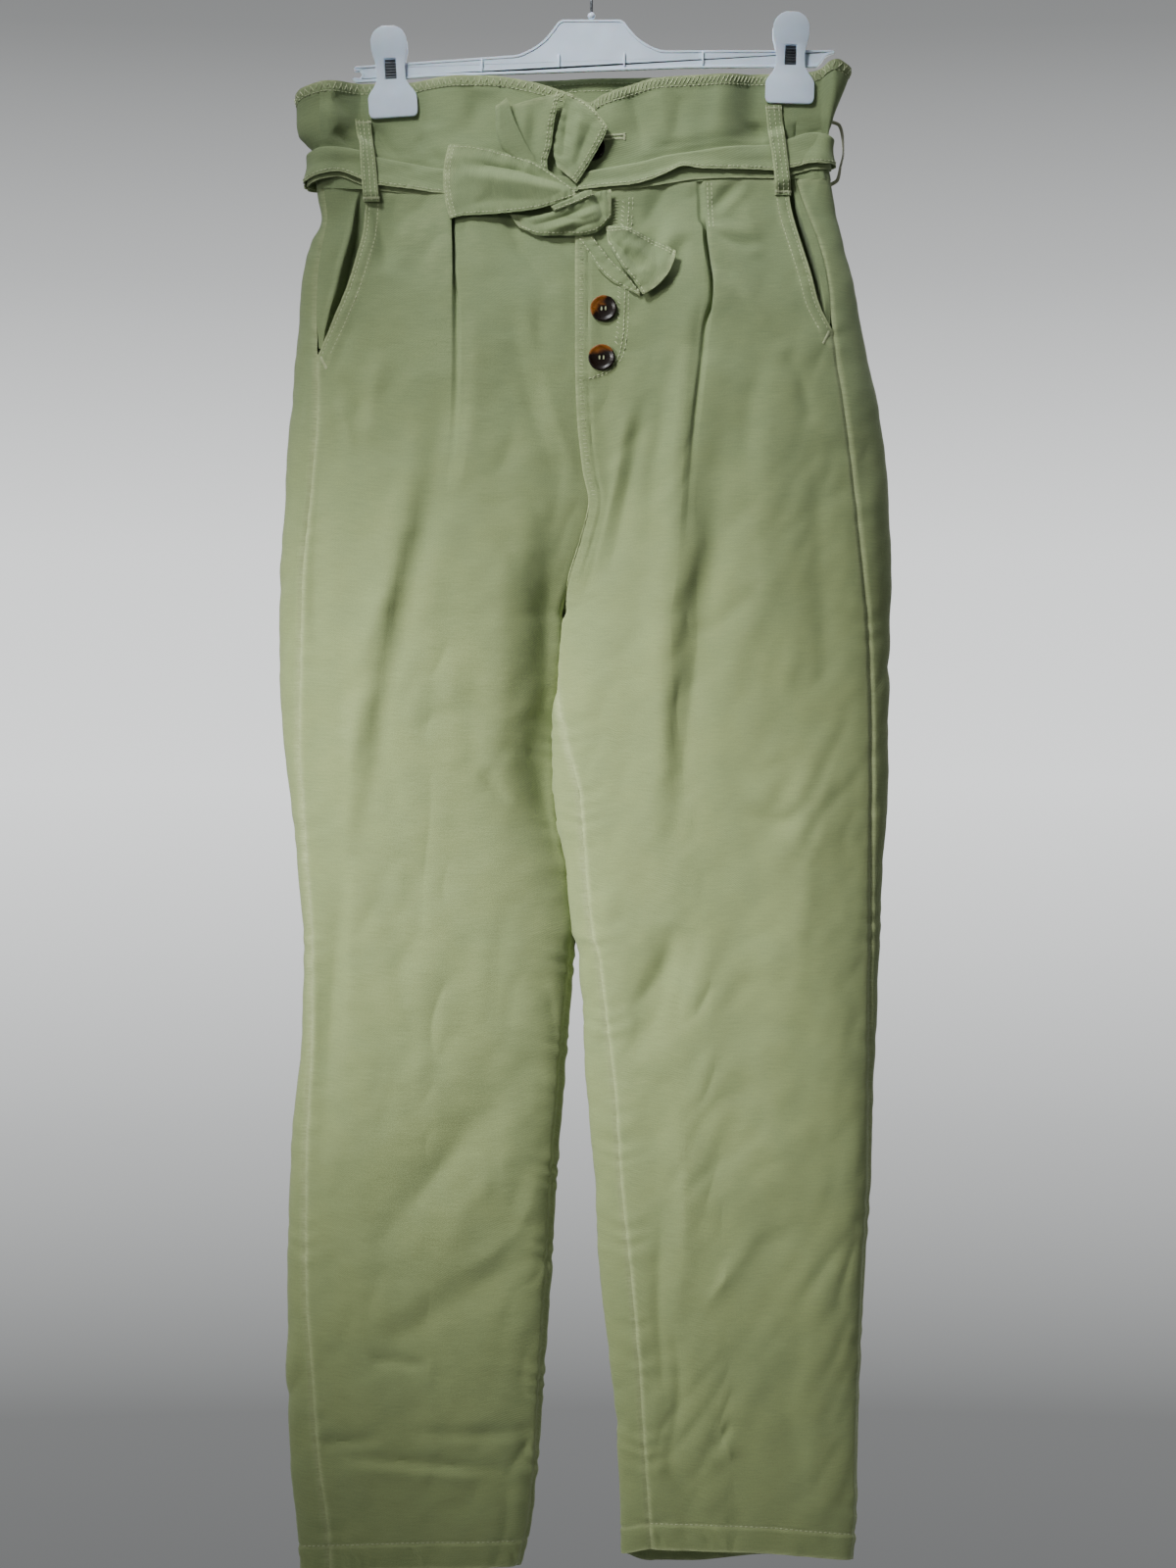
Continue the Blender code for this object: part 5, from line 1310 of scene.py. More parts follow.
# ---------- pocket facings and button stand
class TROUSERS_OT_pocket_facings(bpy.types.Operator):
    """Makes the hip facings that show where the slanted pockets gape"""

    bl_idname = "trousers.pocket_facings"
    bl_label = "Pocket facings"

    def execute(self, context):
        wall = context.scene.trouser_sizes.twill / MM
        for side in SIDES:
            edge = POCKET_EDGE[side]
            inward = INWARD[side]
            foot = edge["drop"][-1] - 7.0
            u, v = np.meshgrid(np.linspace(0, 1, 64), np.linspace(0, 1, 60))
            drop = mix(WAIST_DROP, foot, v)
            for _ in range(4):
                outseam = outline(side, "outseam", drop) + inward * SEAM_GAP
                slant = curve(edge, "x", drop)
                x = mix(outseam, slant + inward * FACING_LAP * ease((foot + 12 - drop) / 60), u)
                drop = mix(across(WAIST, x), foot, v)
            under = ease((x - outseam) / (slant - outseam))
            gape = POCKET_GAPE * np.clip(np.sin(np.pi * v), 0, 1) ** 0.8
            room = np.maximum(np.abs(slant - outseam), 8.0)
            slot = 0.02 + 7.0 * np.clip(np.sin(np.pi * v), 0, 1) ** 0.5 / room
            depth = under * FACING_DEPTH + 1.8 * gape * ease((under - 1 + slot) / (0.5 * slot))
            depth = depth - 1.4 * np.sin(np.pi * v) * bell(under - 1 + 1.2 * slot, 0.5 * slot)
            depth = np.maximum(depth, FACING_DEPTH * ease((v - 0.82) / 0.18)) + 0.3
            theta = ring_angle(side, x, drop)
            normals = ring_normal(side, theta, drop, "front")
            relief = 0.5 * wobble(x, drop, 6.0, 30) * ease(u / 0.2)
            face = ring_point(side, theta, drop, True) + (relief - depth)[..., None] * normals
            made = shell(f"pocket_facing_{side}_twill", face, face - wall * normals, twill())
            cloth_piece(made, [f"pocket_facing_{side}"])
        return {"FINISHED"}


class TROUSERS_OT_fly_underlap(bpy.types.Operator):
    """Makes the button stand behind the fly"""

    bl_idname = "trousers.fly_underlap"
    bl_label = "Fly underlap"

    def execute(self, context):
        wall = context.scene.trouser_sizes.twill / MM
        x, drop = np.meshgrid(np.linspace(-18, 26, 30), np.linspace(190, FLY_DROP, 64))
        points, normals = front_face(x, drop)
        face = points - (2.9 - 0.3 * wobble(x, drop, 7.0, 40))[..., None] * normals
        made = shell("fly_underlap_twill", face, face - wall * normals, twill())
        cloth_piece(made, ["fly_underlap"])
        return {"FINISHED"}


# ---------- waistband
BAND_ROWS = np.concatenate([np.linspace(0, 0.09, 12)[:-1], np.linspace(0.09, 1, 34)])
FINE = 8  # fine columns for each plain one


def fine_columns(side, piece, end):
    last = band_columns(side, piece, end)[-1]
    return np.linspace(0, last, FINE * int(last) + 1)


def band_sides(piece, side):
    """theta and drop of the band's grid, for one side of it."""
    columns = fine_columns(side, piece, "seam")
    return grid_places(side, piece, columns, BAND_ROWS, band_drop, band_theta(piece, "seam"))


def band_face(side, piece, theta, drop):
    """Points of the band's face, with its dents and the raised edging along its top."""
    front = faces_front(piece, theta)
    points = ring_point(side, theta, drop, front)
    normals = face_normals(side, theta, drop, piece)
    x = points[..., 0]
    from_top, from_waist = drop - band_top(front, x), across(WAIST, x) - drop
    free = 1 - pinch(side, x, drop) * (1 - ease((drop - 137) / 8))
    if piece == "front":
        soft = fold_relief(BAND_FOLDS, x, drop, 1.5)
    else:
        soft = 1.4 * wobble(x, 0.4 * drop, 9.0, 60)
    soft = soft * ease(from_waist / 24)
    height = free * (soft + 0.45 * wobble(x, drop, 8.0, 34) * ease(from_waist / 14))
    height += 0.3 * puckers(x, np.abs(from_top - 6.5), 9, 1, 5, 2.0)
    height = height + 0.45 * ease((7.2 - from_top) / 0.8) - 0.35 * bell(from_top - 7.4, 0.7)
    height += puckers(x, from_waist, 8, 0.5, 14, 4.0)
    above_belt = sash_drop(side, front, x, 0.0) - drop
    drawn_in = bell(above_belt - 1.2, 2.2) + 0.45 * bell(above_belt - 7, 3)
    height = height - 1.5 * drawn_in * (1 - bell(x, 34))
    return points + height[..., None] * normals, normals, from_top


def band_shell(name, outer, plain, from_top):
    sizes = bpy.context.scene.trouser_sizes
    normals = grid_normals(outer, plain)
    edge = ease((sizes.edging / MM + 0.6 - from_top) / 0.8)
    inner = outer - (sizes.doubled / MM + 0.5 * edge)[..., None] * normals
    broken = 0.7 + 0.3 * wobble(outer[..., 0], outer[..., 2], 5.0, 7)
    wear = np.clip(broken * (worn_edge(from_top, 1.4, 0.9) + 0.25 * edge), 0, 1)
    return shell(name, outer, inner, twill(), wear), normals, inner


def edging_sewing(outer, normals, slanted):
    """Cover stitch along the band's top edge: a zigzag, or slanted bars where it is pulled."""
    sewing = Sewing()
    middle, facing = inset_line(outer, normals, "start", 3.4)
    if slanted:
        sewing.comb(middle, facing, 2.9, 6.0, lean=32, lift=0.2)
    else:
        sewing.zigzag(middle, facing, 4.4, 4.8, lift=0.2)
    sewing.row(*inset_line(outer, normals, "start", 6.9), lift=0.15)
    return sewing


def inset_line(points, normals, edge, inset):
    """Line that runs `inset` mm inside one edge of a grid.

    The edges are "start" and "end" for the first and last row, "a" and "b" for the first and
    last column.
    """
    if edge in ("a", "b"):
        points, normals = np.swapaxes(points, 0, 1), np.swapaxes(normals, 0, 1)
    if edge in ("end", "b"):
        points, normals = points[::-1], normals[::-1]
    run = run_along(points, 0)
    columns = range(points.shape[1])
    return [
        np.array(
            [[np.interp(inset, run[:, j], grid[:, j, k]) for k in range(3)] for j in columns]
        ) for grid in (points, normals)
    ]


class TROUSERS_OT_waistband(bpy.types.Operator):
    """Makes the tall waistband in three pieces, with its stitched edging and its buttonhole"""

    bl_idname = "trousers.waistband"
    bl_label = "Waistband"

    def execute(self, context):
        for side in SIDES:
            theta, drop = band_sides("front", side)
            outer, plain, from_top = band_face(side, "front", theta, drop)
            made, normals, _ = band_shell(f"band_front_{side}_twill", outer, plain, from_top)
            sewing = edging_sewing(outer, normals, side == "left")
            if side == "left":
                self.buttonhole(sewing)
            cloth_piece(
                made, [f"band_front_{side}"], sewing.piece(f"band_{side}")
            )
        grids = [band_face(side, "back", *band_sides("back", side)) for side in SIDES]
        outer, plain, from_top = joined(grids)
        made, normals, inner = band_shell("band_back_twill", outer, plain, from_top)
        sewing = edging_sewing(outer, normals, False)
        for inset in (3.6, 9.0):
            sewing.row(*inset_line(inner, -normals, "start", inset), lift=0.15)
        cloth_piece(made, ["band_back"], sewing.piece("band_back"))
        return {"FINISHED"}

    def buttonhole(self, sewing):
        """Worked slot with a bar at one end, level with the waist button."""
        slot, bar = np.linspace(10.5, 24.5, 30), np.linspace(147.6, 152.6, 12)
        sides = [(slot, 151.0 + off - 0.06 * (slot - 10), 0.75, 1.9, 0.25) for off in (-1.3, 1.3)]
        for x, drop, pitch, width, lift in sides + [(np.full(12, 25.0), bar, 0.7, 2.2, 0.35)]:
            points, normals, _ = band_face("left", "front", ring_angle("left", x, drop), drop)
            sewing.comb(points, normals, pitch, width, lift=lift)


# ---------- tie belt
# The upper layer's lower edge stands this far above the lower layer's.
UNDER_SHOWS = {
    "right": table(("x", "rise"), (-192, 2.6), (-170, 3.2), (-146, 2.8), (-100, 2.2), (-6, 2.0)),
    "left": table(
        ("x", "rise"), (-7, 2), (5, 1.6), (27, 1.9), (40, 3.4), (54, 6.4), (64, 9.2), (78, 6.4),
        (94, 5.6), (140, 4), (170, 3)
    )
}
# Round the folded belt: "level" runs from its top edge to its lower one, "lift" is the height of
# the layer's middle above the band.
BELT_WRAP = table(
    ("around", "level", "lift"), (0.0, 1.0, 0.8), (0.2, 0.6, 0.8), (0.4, 0.14, 0.8), (0.46, 0.03, 1.0),
    (0.5, 0.0, 1.7), (0.54, 0.03, 2.5), (0.6, 0.14, 2.8), (0.8, 0.6, 2.8), (1.0, 1.0, 2.6)
)


def belt_side(side, piece):
    """Middle of the folded belt's cloth on one side, and the directions of the band under it."""
    columns = fine_columns(side, piece, "fold")
    around = np.concatenate(
        [near_ends(22) * 0.42, np.linspace(0.42, 0.58, 10)[1:-1], 0.58 + 0.42 * near_ends(22)]
    )
    level = curve(BELT_WRAP, "level", around, "around")
    theta, drop = grid_places(side, piece, columns, level, sash_drop, band_theta(piece, "fold"))
    x = ring_x(side, theta, drop)
    share = around[:, None]
    rise = curve(UNDER_SHOWS[side], "rise", x, "x") if piece == "front" else 2.0 + 0.0 * x
    drop = drop - np.where(share > 0.5, rise * level[:, None], 0.0)
    points = ring_point(side, theta, drop, faces_front(piece, theta))
    normals = face_normals(side, theta, drop, piece)
    lift = curve(BELT_WRAP, "lift", around, "around")[:, None]
    outward = -INWARD[side]
    flare = 3.6 * ease((outward * x - 168) / 18) * level[:, None] if side == "right" else 0.0
    hollow = 1.5 * bell(x - 64, 12) * level[:, None] ** 2 if piece == "front" else 0.0
    soft = 0.25 * wobble(x, 3 * drop, 10.0, 45) + 0.2 * wobble(x, drop, 11.0, 17)
    edge = bell((1 - level[:, None]) * 22, 4)
    pucker = 0.28 * edge * np.sin(2 * np.pi * x / 7.5 + 1.7 * np.sin(x / 11))
    stands_off = 1.3 * ease((level[:, None] - 0.55) / 0.45)
    lift = lift + flare + np.where(share > 0.5, hollow + soft + pucker + stands_off, 0.4 * flare)
    return points + lift[..., None] * normals, normals


def belt_shell(name, middle, plain, turned=False):
    """Closed cloth round its middle surface. plain says which way it faces where it is flat."""
    half = 0.5 * bpy.context.scene.trouser_sizes.belt / MM
    rows = len(middle)
    flat = plain.copy()
    if turned:
        flat[: rows // 2] *= -1
    normals = grid_normals(middle, flat)
    outer, inner = middle + half * normals, middle - half * normals
    run = np.linspace(0, 1, rows)[:, None] + 0 * middle[..., 0]
    broken = 0.6 + 0.4 * wobble(middle[..., 0], 2 * middle[..., 2], 5.0, 8)
    wear = np.clip(broken * (0.9 * bell(run, 0.05) + 0.9 * bell(1 - run, 0.05)), 0, 1)
    return shell(name, outer, inner, twill(), wear), outer, normals


class TROUSERS_OT_tie_belt(bpy.types.Operator):
    """Makes the tie belt round the waist, folded lengthwise, with its stitched edges"""

    bl_idname = "trousers.tie_belt"
    bl_label = "Tie belt"

    def execute(self, context):
        for side in SIDES:
            middle, plain = belt_side(side, "front")
            self.make(f"belt_{side}", middle, plain, f"sash_{side}", f"band_front_{side}_twill")
        middle, plain = joined([belt_side(side, "back") for side in SIDES])
        self.make("belt_back", middle, plain, "sash_back", "band_back_twill")
        return {"FINISHED"}

    def make(self, name, middle, plain, replaced, under):
        made, outer, normals = belt_shell(name, middle, plain, turned=True)
        sewing = Sewing()
        sewing.row(*inset_line(outer, normals, "end", 2.0), lift=0.2)
        sewing.row(*inset_line(outer, -normals, "start", 1.6), lift=-0.9)
        cloth_piece(made, [replaced], sewing.piece(name))


# ---------- bow
RIBBON_CREASES = {
    "sash_tail_side": table(
        FOLD_COLUMNS, (-86, 170, -47, 176, -14, 187, 3, -2.2), (-88, 178, -47, 184, -14, 191, 7, 2.2),
        (-50, 166, -47, 170, -42, 174, 3, -0.8), (-38, 171, -35, 175, -29, 179, 2.5, -0.8),
        (-30, 176, -27, 179, -22, 184, 2.5, -0.7), (-66, 162, -62, 166, -56, 170, 3, -0.6),
        (-90, 200, -60, 196, -24, 197, 4, -0.7)
    ),
    "sash_knot": table(
        FOLD_COLUMNS, (-38, 209, -14, 202, 14, 187, 3.5, 1.6), (-40, 213, -18, 208, 12, 196, 3, -1.5),
        (-30, 216, -14, 213, 8, 203, 3, 1.2), (-17, 206, -8, 210, 6, 206, 2.2, -1.3),
        (-22, 219, -10, 216, 10, 210, 2.2, -1.2), (4, 192, 8, 200, 10, 210, 2.5, -1.0),
        (-50, 207, -46, 211, -40, 216, 3, -1.0)
    ),
    "sash_tail_up": table(
        FOLD_COLUMNS, (-13, 124, -15, 145, -17, 166, 4, -1.8), (-4, 130, -7, 148, -12, 172, 5, 0.9),
        (4, 140, -2, 154, -10, 172, 3, -0.7)
    ),
    "sash_loop_low": table(
        FOLD_COLUMNS, (9, 206, 12, 214, 17, 226, 3.4, -3.4), (14, 222, 25, 232, 36, 246, 3.5, -2.4),
        (10, 226, 20, 240, 32, 252, 2.5, 1.5), (15, 208, 24, 216, 34, 222, 4, 1.4),
        (20, 229, 25, 231, 24, 225, 2, 1.2), (26, 224, 40, 236, 50, 248, 4, 1.0),
        (44, 226, 47, 236, 44, 252, 3, -0.7)
    ),
    "sash_loop_back": table(FOLD_COLUMNS, (-2, 222, 8, 238, 28, 254, 3, -0.8)),
    "sash_strand": table(FOLD_COLUMNS, (-24, 203, -12, 198, 2, 192, 1.5, -0.2))
}
EAR_CREASES = table(
    FOLD_COLUMNS, (-34, 126, -37, 144, -36, 162, 5, -1.5), (-24, 126, -28, 145, -29, 166, 4, 1.0),
    (-44, 132, -44, 148, -42, 162, 4, 1.0), (-50, 150, -42, 162, -32, 174, 3, -1.2)
)
# The bow's wide loop: its free edge, the side where it rolls forward, and the edge of the flap
# that it rolls into. One row for each height.
EAR = table(
    (
        "free_x", "free_drop", "free_lift", "roll_x", "roll_drop", "roll_lift", "flap_x", "flap_drop",
        "flap_lift"
    ),
    (-18, 122, 7.0, -62, 131, 5.2, -55.5, 126, 11.4), (-23, 141, 6.8, -62, 143, 5.0, -50.5, 140, 11.0),
    (-25, 157, 6.0, -59, 157, 4.6, -44, 154, 9.6), (-28, 169, 5.0, -50, 167, 4.4, -38, 165, 8.2),
    (-26, 179, 4.4, -38, 177, 4.0, -31, 177, 6.4)
)
BOW_STITCHED = {
    # which edges carry a row of stitches, and how far inside
    "sash_tail_side": (("start", 1.8), ("start", 4.4), ("a", 1.9), ("b", 1.9)),
    "sash_tail_up": (("b", 1.8), ("b", 4.2), ("end", 1.8)), "sash_knot": (("b", 2.4),),
    "sash_strand": (("b", 1.0),), "sash_loop_low": (("a", 1.6), ("a", 3.6), ("b", 1.8)),
    "sash_loop_back": (("a", 1.4), ("b", 1.6))
}


def front_face(x, drop):
    """Points and directions of the front at any X, whichever half it lies on."""
    centre = outline("right", "inner", drop)
    halves = []
    for side in SIDES:
        theta = ring_angle(side, x, drop)
        halves.append((ring_point(side, theta, drop, True), ring_normal(side, theta, drop, "front")))
    pick = (x < centre)[..., None]
    return [np.where(pick, a, b) for a, b in zip(*halves)]


def edge_free(u):
    return ease(np.minimum(u, 1 - u) / 0.12)


def ribbon_middle(name):
    """Middle surface of one stretch of the bow: rows along it, columns across it."""
    stations = RIBBONS[name]
    count = len(stations["x_a"])
    stations = dict(stations, index=np.arange(count, dtype=float))
    u, row = np.meshgrid(near_ends(30), np.linspace(0, count - 1, 10 * (count - 1) + 1))
    at = {key: curve(stations, key, row, "index") for key in RIBBON_COLUMNS}
    x, drop = mix(at["x_a"], at["x_b"], u), mix(at["drop_a"], at["drop_b"], u)
    run_x, run_drop = at["x_b"] - at["x_a"], at["drop_b"] - at["drop_a"]
    width = np.hypot(run_x, run_drop)
    arch = 4 * u * (1 - u)
    x = x + at["bow"] * arch * run_drop / width
    drop = drop - at["bow"] * arch * run_x / width
    along = row * 12.0
    edge = bell(width * np.minimum(u, 1 - u), 4)
    pucker = 0.35 * edge * np.sin(2 * np.pi * along / 6.5 + 1.6 * np.sin(along / 9) + 3 * u)
    creases = fold_relief(RIBBON_CREASES[name], x, drop, 1.4)
    relief = 1.9 * creases + 0.3 * wobble(x, drop, 12.0, 18) + pucker
    relief += 0.6 * edge_free(u) * np.abs(wobble(x, 1.3 * drop, 13.0, 26)) ** 0.7
    points, _ = front_face(x, drop)
    points[..., 1] -= mix(at["lift_a"], at["lift_b"], u) + at["swell"] * arch + relief + 0.8
    return points


def ear_middle():
    """Middle surface of the wide loop, from its free edge round its rolled side to the flap's edge."""
    rows = np.linspace(0, 4, 46)
    heights = dict(EAR, index=np.arange(5.0))
    at = {key: curve(heights, key, rows, "index") for key in EAR}
    depth_back, depth_front = at["roll_lift"], at["flap_lift"] - 0.6
    across_ear = {
        # share of the way round, and what each point is
        0.0: (at["free_x"], at["free_drop"], at["free_lift"]),
        0.3: (
            mix(at["free_x"], at["roll_x"], 0.45), mix(at["free_drop"], at["roll_drop"], 0.45),
            0.45 + mix(at["free_lift"], depth_back, 0.45)
        ),
        0.6: (at["roll_x"] + 3.0, at["roll_drop"], depth_back),
        0.67: (at["roll_x"] - 0.6, at["roll_drop"], mix(depth_back, depth_front, 0.5)),
        0.74: (at["roll_x"] + 2.4, mix(at["roll_drop"], at["flap_drop"], 0.3), depth_front),
        1.0: (at["flap_x"], at["flap_drop"], at["flap_lift"])
    }
    share = np.concatenate(
        [0.56 * near_ends(24, last=False), np.linspace(0.56, 0.78, 18)[1:-1], np.linspace(0.78, 1, 10)]
    )
    columns = []
    for row in range(len(rows)):
        knots = {"around": np.array(list(across_ear))}
        for k, key in enumerate(("x", "drop", "lift")):
            knots[key] = np.array([place[k][row] for place in across_ear.values()])
        columns.append([curve(knots, key, share, "around") for key in ("x", "drop", "lift")])
    x, drop, lift = np.moveaxis(np.array(columns), 1, 0)
    flat = ease((0.58 - share) / 0.1)
    edge = bell(x - at["free_x"][:, None], 4) * flat
    along = rows[:, None] * 12.0
    pucker = 0.35 * edge * np.sin(2 * np.pi * along / 6.0 + 1.3 * np.sin(along / 8))
    points, _ = front_face(x, drop)
    creases = flat * fold_relief(EAR_CREASES, x, drop)
    points[..., 1] -= lift + 0.8 + pucker + creases + 0.2 * wobble(x, drop, 13.0, 16)
    return points


class TROUSERS_OT_bow(bpy.types.Operator):
    """Makes the tied bow, stretch by stretch, from the same ribbon as the belt"""

    bl_idname = "trousers.bow"
    bl_label = "Bow"

    def execute(self, context):
        for name in RIBBONS:
            self.make(name, ribbon_middle(name), BOW_STITCHED[name], [name])
        stitched = (("a", 1.8), ("a", 3.8), ("b", 1.8))
        self.make("sash_ear", ear_middle(), stitched, ["sash_ear", "sash_ear_edge"])
        return {"FINISHED"}

    def make(self, name, middle, stitched, replaced):
        forward = np.broadcast_to(np.array([0.0, -1.0, 0.0]), middle.shape)
        made, outer, normals = belt_shell(name.replace("sash", "bow"), middle, forward)
        sewing = Sewing()
        for edge, inset in stitched:
            sewing.row(*inset_line(outer, normals, edge, inset), lift=0.15, pitch=2.8, length=2.2)
        cloth_piece(made, replaced, sewing.piece(made.name))


# ---------- belt loops and hanging tape
class TROUSERS_OT_belt_loops(bpy.types.Operator):
    """Makes the five belt loops, sewn above and below the belt"""

    bl_idname = "trousers.belt_loops"
    bl_label = "Belt loops"

    def execute(self, context):
        wall = context.scene.trouser_sizes.doubled / MM
        for name, (side, head_x, foot_x, head, foot, back) in LOOPS.items():
            head = head if back else head - 3.4
            u, v = np.meshgrid(near_ends(15) - 0.5, np.linspace(0, 1, 64))
            x = mix(head_x, foot_x, v) + u * LOOP_WIDTH
            drop = mix(head, foot, v)
            theta = ring_angle(side, x, drop, back)
            points = ring_point(side, theta, drop, not back)
            normals = ring_normal(side, theta, drop, "back" if back else "front")
            top, bottom = (sash_drop(side, not back, x, level) for level in (0.0, 1.0))
            over = ease((drop - top + 13) / 10) * ease((bottom + 13 - drop) / 9)
            lift = 0.7 + over * 4.2 + 0.25 * wobble(3 * x, drop, 14.0, 20)
            round_side = 0.7 * np.clip((np.abs(u) - 0.4) / 0.1, 0, 1) ** 2
            tack = 0.5 * (bell(v - 0.04, 0.02) + bell(v - 0.96, 0.02))
            outer = points + (lift + wall - round_side - tack)[..., None] * normals
            inner = points + (lift - 0.3)[..., None] * normals
            wear = np.clip((np.abs(u) - 0.38) * 6, 0, 0.8)
            made = shell(name.replace("loop", "belt_loop"), outer, inner, twill(), wear)
            sewing = Sewing()
            for edge in ("a", "b"):
                sewing.row(*inset_line(outer, normals, edge, 2.3), pitch=2.8, length=2.2, lift=0.15)
            sewing.row(*inset_line(outer, normals, "b", 5.5), pitch=2.8, length=2.2, lift=0.15)
            for edge in ("start", "end"):
                sewing.comb(*inset_line(outer, normals, edge, 2.4), 0.85, 2.4, lift=0.3)
            cloth_piece(made, [name], sewing.piece(made.name))
        return {"FINISHED"}


class TROUSERS_OT_hanging_tape(bpy.types.Operator):
    """Makes the thin hanging tape with its knotted ends"""

    bl_idname = "trousers.hanging_tape"
    bl_label = "Hanging tape"

    def execute(self, context):
        route = np.stack([TAPE["x"], TAPE["y"], -TAPE["drop"]], axis=-1)
        for end in (0, -1):
            drop = TAPE["drop"][end]
            theta = 2 * np.pi - 0.55
            face = ring_point("left", theta, drop, False)
            route[end] = face + 2.0 * ring_normal("left", theta, drop, "back")
        rows = dict(
            index=np.arange(len(route), dtype=float), x=route[:, 0], y=route[:, 1], z=route[:, 2]
        )
        at = np.linspace(0, len(route) - 1, 110)
        path = np.stack([curve(rows, axis, at, "index") for axis in "xyz"], axis=-1)
        along = np.gradient(path, axis=0)
        outward = unit(np.cross(along, [0.0, 1.0, 0.0]))
        share = at / at[-1]
        knot = bell(share - 0.05, 0.035) + bell(share - 0.95, 0.035)
        turn = 1.0 + 0.4 * np.sin(7 * share + 1)
        width = (2.6 + 1.4 * knot)[:, None, None]
        thick = (0.7 + 1.8 * knot)[:, None]
        aside = np.cos(turn)[:, None] * np.array([0.0, 1.0, 0.0]) + np.sin(turn)[:, None] * outward
        away = np.cos(turn)[:, None] * outward - np.sin(turn)[:, None] * np.array([0.0, 1.0, 0.0])
        u = np.linspace(-0.5, 0.5, 9)[None, :, None]
        middle = path[:, None] + u * width * aside[:, None]
        swell = (1 - (2 * u) ** 2 * 0.8) * thick[:, None]
        outer = middle + 0.5 * swell * away[:, None]
        inner = middle - 0.5 * swell * away[:, None]
        made = shell("hanging_tape_satin", outer, inner, satin_tape())
        finished(made, "tape", "hanging_tape")
        return {"FINISHED"}


# ---------- modelling by operators
def choose(*pieces):
    """Selects these objects and nothing else. The first one is active."""
    if bpy.context.mode != "OBJECT":
        bpy.ops.object.mode_set(mode="OBJECT")
    bpy.ops.object.select_all(action="DESELECT")
    for piece in pieces:
        piece.select_set(True)
    if pieces:
        bpy.context.view_layer.objects.active = pieces[0]


def begin(shape, **settings):
    """Adds one primitive with nothing else selected, and gives the new object."""
    choose()
    getattr(bpy.ops.mesh, f"primitive_{shape}_add")(**settings)
    return bpy.context.active_object


def pick(made, kind, wanted):
    """Enters edit mode with the faces or edges selected that are wanted."""
    bpy.ops.object.mode_set(mode="EDIT")
    bpy.ops.mesh.select_mode(type=kind)
    bpy.ops.mesh.select_all(action="DESELECT")
    bpy.ops.object.mode_set(mode="OBJECT")
    for item in made.data.polygons if kind == "FACE" else made.data.edges:
        item.select = bool(wanted(item))
    bpy.ops.object.mode_set(mode="EDIT")


def dish(made, wanted, *steps, **settings):
    """Insets the wanted faces step by step. Each step has a width and a depth, in metres."""
    pick(made, "FACE", lambda face: wanted(face.normal))
    for width, depth in steps:
        bpy.ops.mesh.inset(thickness=width, depth=depth, **settings)
    bpy.ops.object.mode_set(mode="OBJECT")


def apply_modifier(made, kind, **settings):
    bpy.context.view_layer.objects.active = made
    modifier = made.modifiers.new(kind.lower(), kind)
    for name, value in settings.items():
        setattr(modifier, name, value)
    bpy.ops.object.modifier_apply(modifier=modifier.name)


def bevel(made, width, segments, angle=30):
    limit = {"limit_method": "ANGLE", "angle_limit": math.radians(angle)}
    apply_modifier(made, "BEVEL", width=width, segments=segments, **limit)


def bake_place():
    """Moves the selected objects' place into their meshes."""
    bpy.ops.object.transform_apply(location=True, rotation=True, scale=True)


def cut_out(made, cutter):
    """Takes the cutter's shape out of the object, and removes the cutter."""
    choose(made)
    apply_modifier(made, "BOOLEAN", operation="DIFFERENCE", solver="EXACT", object=cutter)
    bpy.data.objects.remove(cutter, do_unlink=True)


def join(pieces):
    choose(*pieces)
    bpy.ops.object.join()
    return bpy.context.active_object


def settle(made, name, look):
    """Applies the object's place, names it and gives it its material and smooth shading."""
    choose(made)
    bake_place()
    made.name = made.data.name = name
    made.data.materials.clear()
    made.data.materials.append(look)
    bpy.ops.object.shade_smooth_by_angle(angle=math.radians(35))
    return made


# ---------- buttons
AMBER_SIDE = {"button_1": (-0.8, 0, 0.6), "button_2": (-0.15, 0, 1.0), "button_waist": (-1.0, 0, 0.5)}
BUTTON_DISH = ((0.0012, 0), (0.0009, -0.0006), (0.0012, -0.0003))  # rim, wall and floor
SLOT_ASIDE = 0.0014
SLOT_RADIUS = 0.0008
STRAND_RADIUS = 0.00026
STRAND_ASIDE = 0.00024


